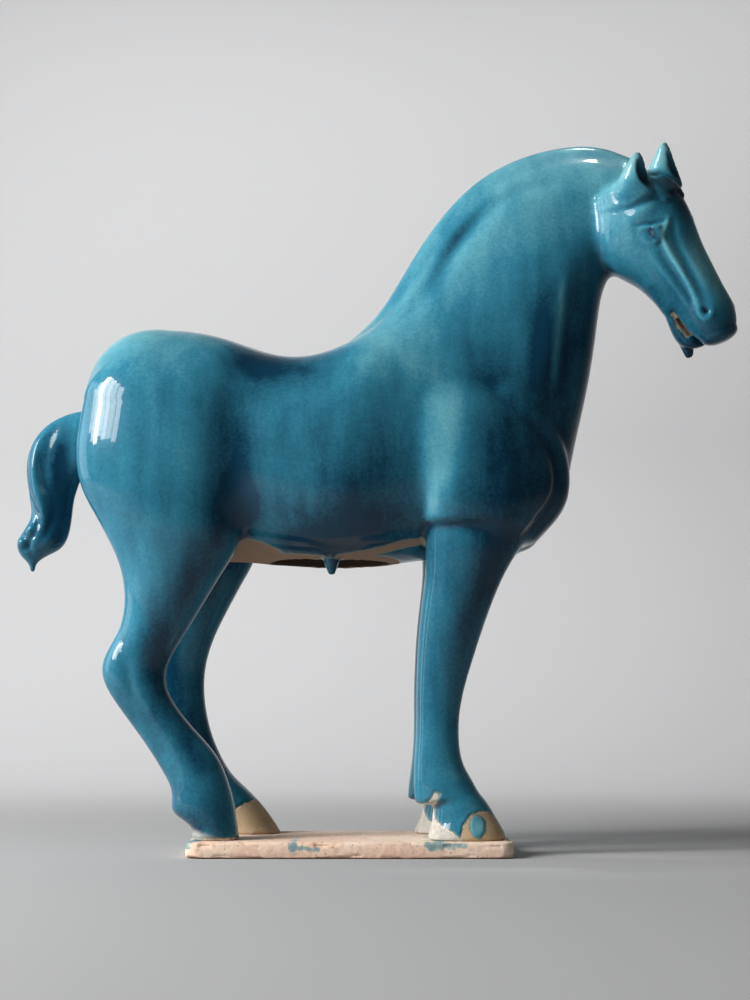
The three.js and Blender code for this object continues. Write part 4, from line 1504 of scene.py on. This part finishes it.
# Where the floor stops being flat, the radius of its turn up, and the sheet's other ends, in m.
FLOOR_END = 1.1
SWEEP_RADIUS = 0.6
SHEET_FRONT, SHEET_TOP, SHEET_SIDE = -4.0, 4.5, 4.0


def backdrop_sweep(material):
    """Floor and backdrop in one sheet: flat, then a quarter circle, then upright."""
    turn = np.linspace(0, math.pi / 2, 24)
    flat = np.linspace(-3.0, 1.0, 9)
    y = np.concatenate([[SHEET_FRONT], flat, FLOOR_END + SWEEP_RADIUS * np.sin(turn),
                        [FLOOR_END + SWEEP_RADIUS]])
    z = np.concatenate([[0.0], 0 * flat, SWEEP_RADIUS - SWEEP_RADIUS * np.cos(turn), [SHEET_TOP]])
    x = np.linspace(-SHEET_SIDE, SHEET_SIDE, 9)
    grid = np.stack(np.broadcast_arrays(x[:, None], y, z), -1)
    index = np.arange(grid[..., 0].size).reshape(grid.shape[:2])
    faces = np.stack([index[:-1, :-1], index[1:, :-1], index[1:, 1:], index[:-1, 1:]], -1)
    return mesh_object("backdrop", grid.reshape(-1, 3), faces.reshape(-1, 4), material)


def soft_light(name, place, target, size, power, spread=180):
    """A rectangular area light at a place in metres, turned to its target, spread in degrees."""
    lamp = bpy.data.lights.new(name, "AREA")
    lamp.shape = "RECTANGLE"
    lamp.size, lamp.size_y = size
    lamp.energy = power
    lamp.spread = math.radians(spread)
    thing = bpy.data.objects.new(name, lamp)
    bpy.context.scene.collection.objects.link(thing)
    thing.location = place
    away = Vector(target) - Vector(place)
    thing.rotation_euler = away.to_track_quat("-Z", "Y").to_euler()
    return thing


# The window's middle, and the way along it. Its panes stand side by side: name, metres aside
# from its middle, width, lower and upper edge from its middle, and share of the full glow.
WINDOW = Vector((-1.53, -0.88, 1.1))
ALONG_WINDOW = Vector((0.5, -0.866, 0))
WATTS_A_SQUARE_METRE = 58
WINDOW_PANES = (
    ("pane_1", -0.53, 0.17, -0.36, 0.08, 0.55),
    ("pane_2", -0.37, 0.15, -0.46, 0.34, 0.8),
    ("pane_3", -0.21, 0.18, -0.50, 0.60, 2.0),
    ("pane_4", -0.05, 0.15, -0.42, 0.56, 0.9),
    ("pane_5", 0.11, 0.15, -0.46, 0.46, 1.0),
    ("pane_6", 0.28, 0.18, -0.46, 0.36, 0.7),
    ("pane_7", 0.46, 0.16, -0.50, 0.24, 0.7),
)
# The other lights: name, place, target, size, watts and spread.
LAMPS = (
    ("side_light", (-2.1, 0.2, 0.8), (0, 0, 0.25), (1.2, 1.6), 14, 180),
    ("crest_strip", (0.24, 0.2, 1.6), (0.16, 0.0, 0.5), (0.2, 0.015), 0.018, 10),
    ("backdrop_wash", (0.2, 0.9, 1.9), (0.1, 1.7, 0.5), (2.2, 0.5), 6.5, 100),
)
ROOM_COLOUR = (0.70, 0.74, 0.80, 1)
ROOM_GLOW = 0.08
# The camera's place in metres. Its focal length, the picture's height and how far its middle
# stands above the horizon are in pixels.
CAMERA_PLACE = (0.018, -1.286, 0.093)
FOCAL_PIXELS, HEIGHT_PIXELS, RISE_PIXELS = 1700, 1000, 226


def light_the_room(scene):
    """The window's panes, the lamps and the faint glow of the room."""
    for name, aside, width, low, high, glow in WINDOW_PANES:
        place = WINDOW + aside * ALONG_WINDOW + Vector((0, 0, (low + high) / 2))
        size = (width, high - low)
        power = WATTS_A_SQUARE_METRE * glow * math.prod(size)
        soft_light(name, place, place - WINDOW * 1.2, size, power)
    for lamp in LAMPS:
        soft_light(*lamp)
    world = bpy.data.worlds.new("room")
    world.use_nodes = True
    background = world.node_tree.nodes["Background"]
    background.inputs["Color"].default_value = ROOM_COLOUR
    background.inputs["Strength"].default_value = ROOM_GLOW
    scene.world = world


def place_camera(scene):
    """A camera before the figure's near side, low down and tilted up a little."""
    lens = bpy.data.cameras.new("camera")
    lens.sensor_width = 36
    lens.lens = lens.sensor_width * FOCAL_PIXELS / HEIGHT_PIXELS
    camera = bpy.data.objects.new("camera", lens)
    scene.collection.objects.link(camera)
    camera.location = CAMERA_PLACE
    camera.rotation_euler = (math.radians(90) + math.atan(RISE_PIXELS / FOCAL_PIXELS), 0, 0)
    scene.camera = camera


def colour(name, description, default):
    """A colour that the user can change, in linear red, green and blue."""
    return bpy.props.FloatVectorProperty(
        name=name, description=description, default=default, subtype="COLOR", size=3, min=0, max=1)


class TombHorseGlaze(bpy.types.PropertyGroup):
    thin_colour: colour("Thin glaze", "Colour where the glaze lies thin", (0.165, 0.46, 0.525))
    middle_colour: colour("Glaze", "Colour over most of the body", (0.032, 0.208, 0.305))
    deep_colour: colour("Pooled glaze", "Colour where the glaze has pooled", (0.003, 0.040, 0.080))
    worn_colour: colour(
        "Worn ridge", "Colour on sharp ridges, where the body shows through", (0.22, 0.42, 0.42))
    rim_colour: colour(
        "Glaze rim", "Colour of the thin rim where the glaze stops", (0.26, 0.30, 0.24))
    roughness: bpy.props.FloatProperty(
        name="Roughness", description="Roughness of the glaze under its clear skin",
        min=0, max=1, default=0.32, subtype="FACTOR")


class TombHorseClay(bpy.types.PropertyGroup):
    clay_colour: colour("Clay", "Colour of the bare clay", (0.89, 0.585, 0.42))
    clay_pale: colour("Pale clay", "Paler patches of the clay", (0.95, 0.785, 0.63))
    blush_colour: colour("Blush", "Pinker patches of the clay", (0.80, 0.52, 0.41))
    # It also darkens the bare clay under the belly and in the mouth, as painted shade.
    clay_dirt_and_shade: colour("Dirt", "Dirt in the pits of the clay", (0.26, 0.17, 0.115))
    hoof_colour: colour("Hoof", "Tan of the unglazed hooves", (0.52, 0.36, 0.20))
    hoof_pale: colour("Pale hoof", "Paler patches on the hooves", (0.70, 0.54, 0.36))
    slip_colour: colour("Slip", "Colour of the white slip at the feet", (0.61, 0.585, 0.52))
    slip_shade: colour("Slip shade", "Darker patches of the slip", (0.45, 0.42, 0.37))


class TombHorseForm(bpy.types.PropertyGroup):
    grain: bpy.props.FloatProperty(
        name="Mesh grain", description="Spacing of the horse's mesh before its head is refined",
        default=0.0031, min=0.002, max=0.01, unit="LENGTH", precision=4)
    slab_corner: bpy.props.FloatProperty(
        name="Slab corner", description="Radius of the slab's corners",
        default=0.011, min=0.009, max=0.03, unit="LENGTH", precision=4)


class TombHorseSettings(bpy.types.PropertyGroup):
    glaze: bpy.props.PointerProperty(
        type=TombHorseGlaze, name="Glaze", description="Colours and shine of the glaze")
    clay: bpy.props.PointerProperty(
        type=TombHorseClay, name="Clay", description="Colours of the clay, hooves and slip")
    form: bpy.props.PointerProperty(
        type=TombHorseForm, name="Form", description="Sizes of the mesh and the slab")


# The room left round the horse in its grid, in mm.
GRID_MARGIN = 6
# Rounds of averaging that tell a hollow from its surroundings on a grid of 1 mm. A coarser
# grid takes fewer, by the square of its step.
HOLLOW_ROUNDS = 78


def fine_places(form, p):
    """Which of the points lie on the head, the tail's end or the feet, where the mesh is finer."""
    in_head = form.in_head(p)
    on_head = ((in_head > (-24, -45, -92)) & (in_head < (150, 45, 20))).all(1)
    return on_head | (p[:, 0] < -204) | (p[:, 2] < 42)


def horse_mesh(form, step):
    """Points, outward slopes and triangles of the horse's skin.

    A surface net on a grid of that step is settled on the form and evened out, its triangles
    on the fine places are split, and it's settled and evened once more.
    """
    low = np.array(CAD_LOW) / MM - SOLES - GRID_MARGIN
    high = np.array(CAD_HIGH) / MM - SOLES + GRID_MARGIN
    low[2] = -GRID_MARGIN
    axes = [np.arange(low[k], high[k] + step, step) for k in range(3)]
    grid = np.stack(np.meshgrid(*axes, indexing="ij"), -1).reshape(-1, 3)
    values = form.distance(grid).reshape([len(a) for a in axes])
    points, quads = surface_net(without_pinches(values), low, step)
    points = settled(form, points)
    faces = triangles_of(points, quads)
    points = evened(form, points, faces, 3)
    points, faces = refined(points, faces, fine_places(form, points))
    points = evened(form, settled(form, points), faces, 2)
    return points, slope_at(form, points)[1], faces


class TOMBHORSE_OT_horse(bpy.types.Operator):
    """Make the glazed horse from its rib tables"""

    bl_idname = "tombhorse.horse"
    bl_label = "Glazed Horse"

    def execute(self, context):
        settings = context.scene.tomb_horse
        form = HorseForm()
        step = settings.form.grain / MM * 1.0
        points, slope, faces = horse_mesh(form, step)
        world = (points + SOLES) * MM
        piece = mesh_object("glazed_horse", world, faces, glazed_material(settings))
        normal = slope / np.linalg.norm(slope, axis=1, keepdims=True)
        rounds = max(3, round(HOLLOW_ROUNDS / step**2))
        put_values(piece, "thinning_and_painted_light", thinning_and_painted_light(form, points))
        for name, values in finish_zones(form, points).items():
            put_values(piece, name, values)
        put_values(piece, "hollow_near", hollowness(points, normal, edges_of(faces)[0], rounds))
        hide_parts("horse")
        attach(piece, ROOT)
        return {"FINISHED"}


class TOMBHORSE_OT_slab(bpy.types.Operator):
    """Make the worn slab of bare clay that the horse stands on"""

    bl_idname = "tombhorse.slab"
    bl_label = "Clay Slab"

    def execute(self, context):
        settings = context.scene.tomb_horse
        low, high = (np.array(corner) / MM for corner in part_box("base_slab"))
        points, faces = closed_grid(slab_surface(low, high, settings.form.slab_corner / MM))
        piece = mesh_object("clay_slab", points * MM, faces, slab_material(settings))
        edges = edges_of(faces)[0]
        normal = np.empty(len(points) * 3, np.float32)
        piece.data.vertices.foreach_get("normal", normal)
        put_values(piece, "hollow_near", hollowness(points, normal.reshape(-1, 3), edges, 6))
        put_values(piece, "splash", splash_zones(points - SOLES))
        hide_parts("base_slab")
        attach(piece, ROOT)
        return {"FINISHED"}


class TOMBHORSE_OT_stage(bpy.types.Operator):
    """Make the pale floor and backdrop, the soft lights and the camera"""

    bl_idname = "tombhorse.stage"
    bl_label = "Studio"

    def execute(self, context):
        backdrop_sweep(paper_material())
        light_the_room(context.scene)
        place_camera(context.scene)
        context.scene.view_settings.view_transform = "Standard"
        return {"FINISHED"}


class TOMBHORSE_PT_panel(bpy.types.Panel):
    """Buttons and colours of the tomb horse"""

    bl_idname = "TOMBHORSE_PT_panel"
    bl_label = "Tomb Horse"
    bl_space_type = "VIEW_3D"
    bl_region_type = "UI"
    bl_category = "Tomb Horse"

    def draw(self, context):
        for operator in OPERATORS:
            self.layout.operator(operator.bl_idname)
        settings = context.scene.tomb_horse
        for group in (settings.glaze, settings.clay, settings.form):
            box = self.layout.box()
            for name in group.__annotations__:
                box.prop(group, name)


GROUPS = (TombHorseGlaze, TombHorseClay, TombHorseForm, TombHorseSettings)
OPERATORS = (TOMBHORSE_OT_horse, TOMBHORSE_OT_slab, TOMBHORSE_OT_stage)


def register():
    for one in GROUPS + OPERATORS + (TOMBHORSE_PT_panel,):
        bpy.utils.register_class(one)
    bpy.types.Scene.tomb_horse = bpy.props.PointerProperty(type=TombHorseSettings)


def unregister():
    del bpy.types.Scene.tomb_horse
    for one in reversed(GROUPS + OPERATORS + (TOMBHORSE_PT_panel,)):
        bpy.utils.unregister_class(one)


def main():
    register()
    bpy.ops.tombhorse.horse()
    bpy.ops.tombhorse.slab()
    bpy.ops.tombhorse.stage()


if __name__ == "__main__":
    main()
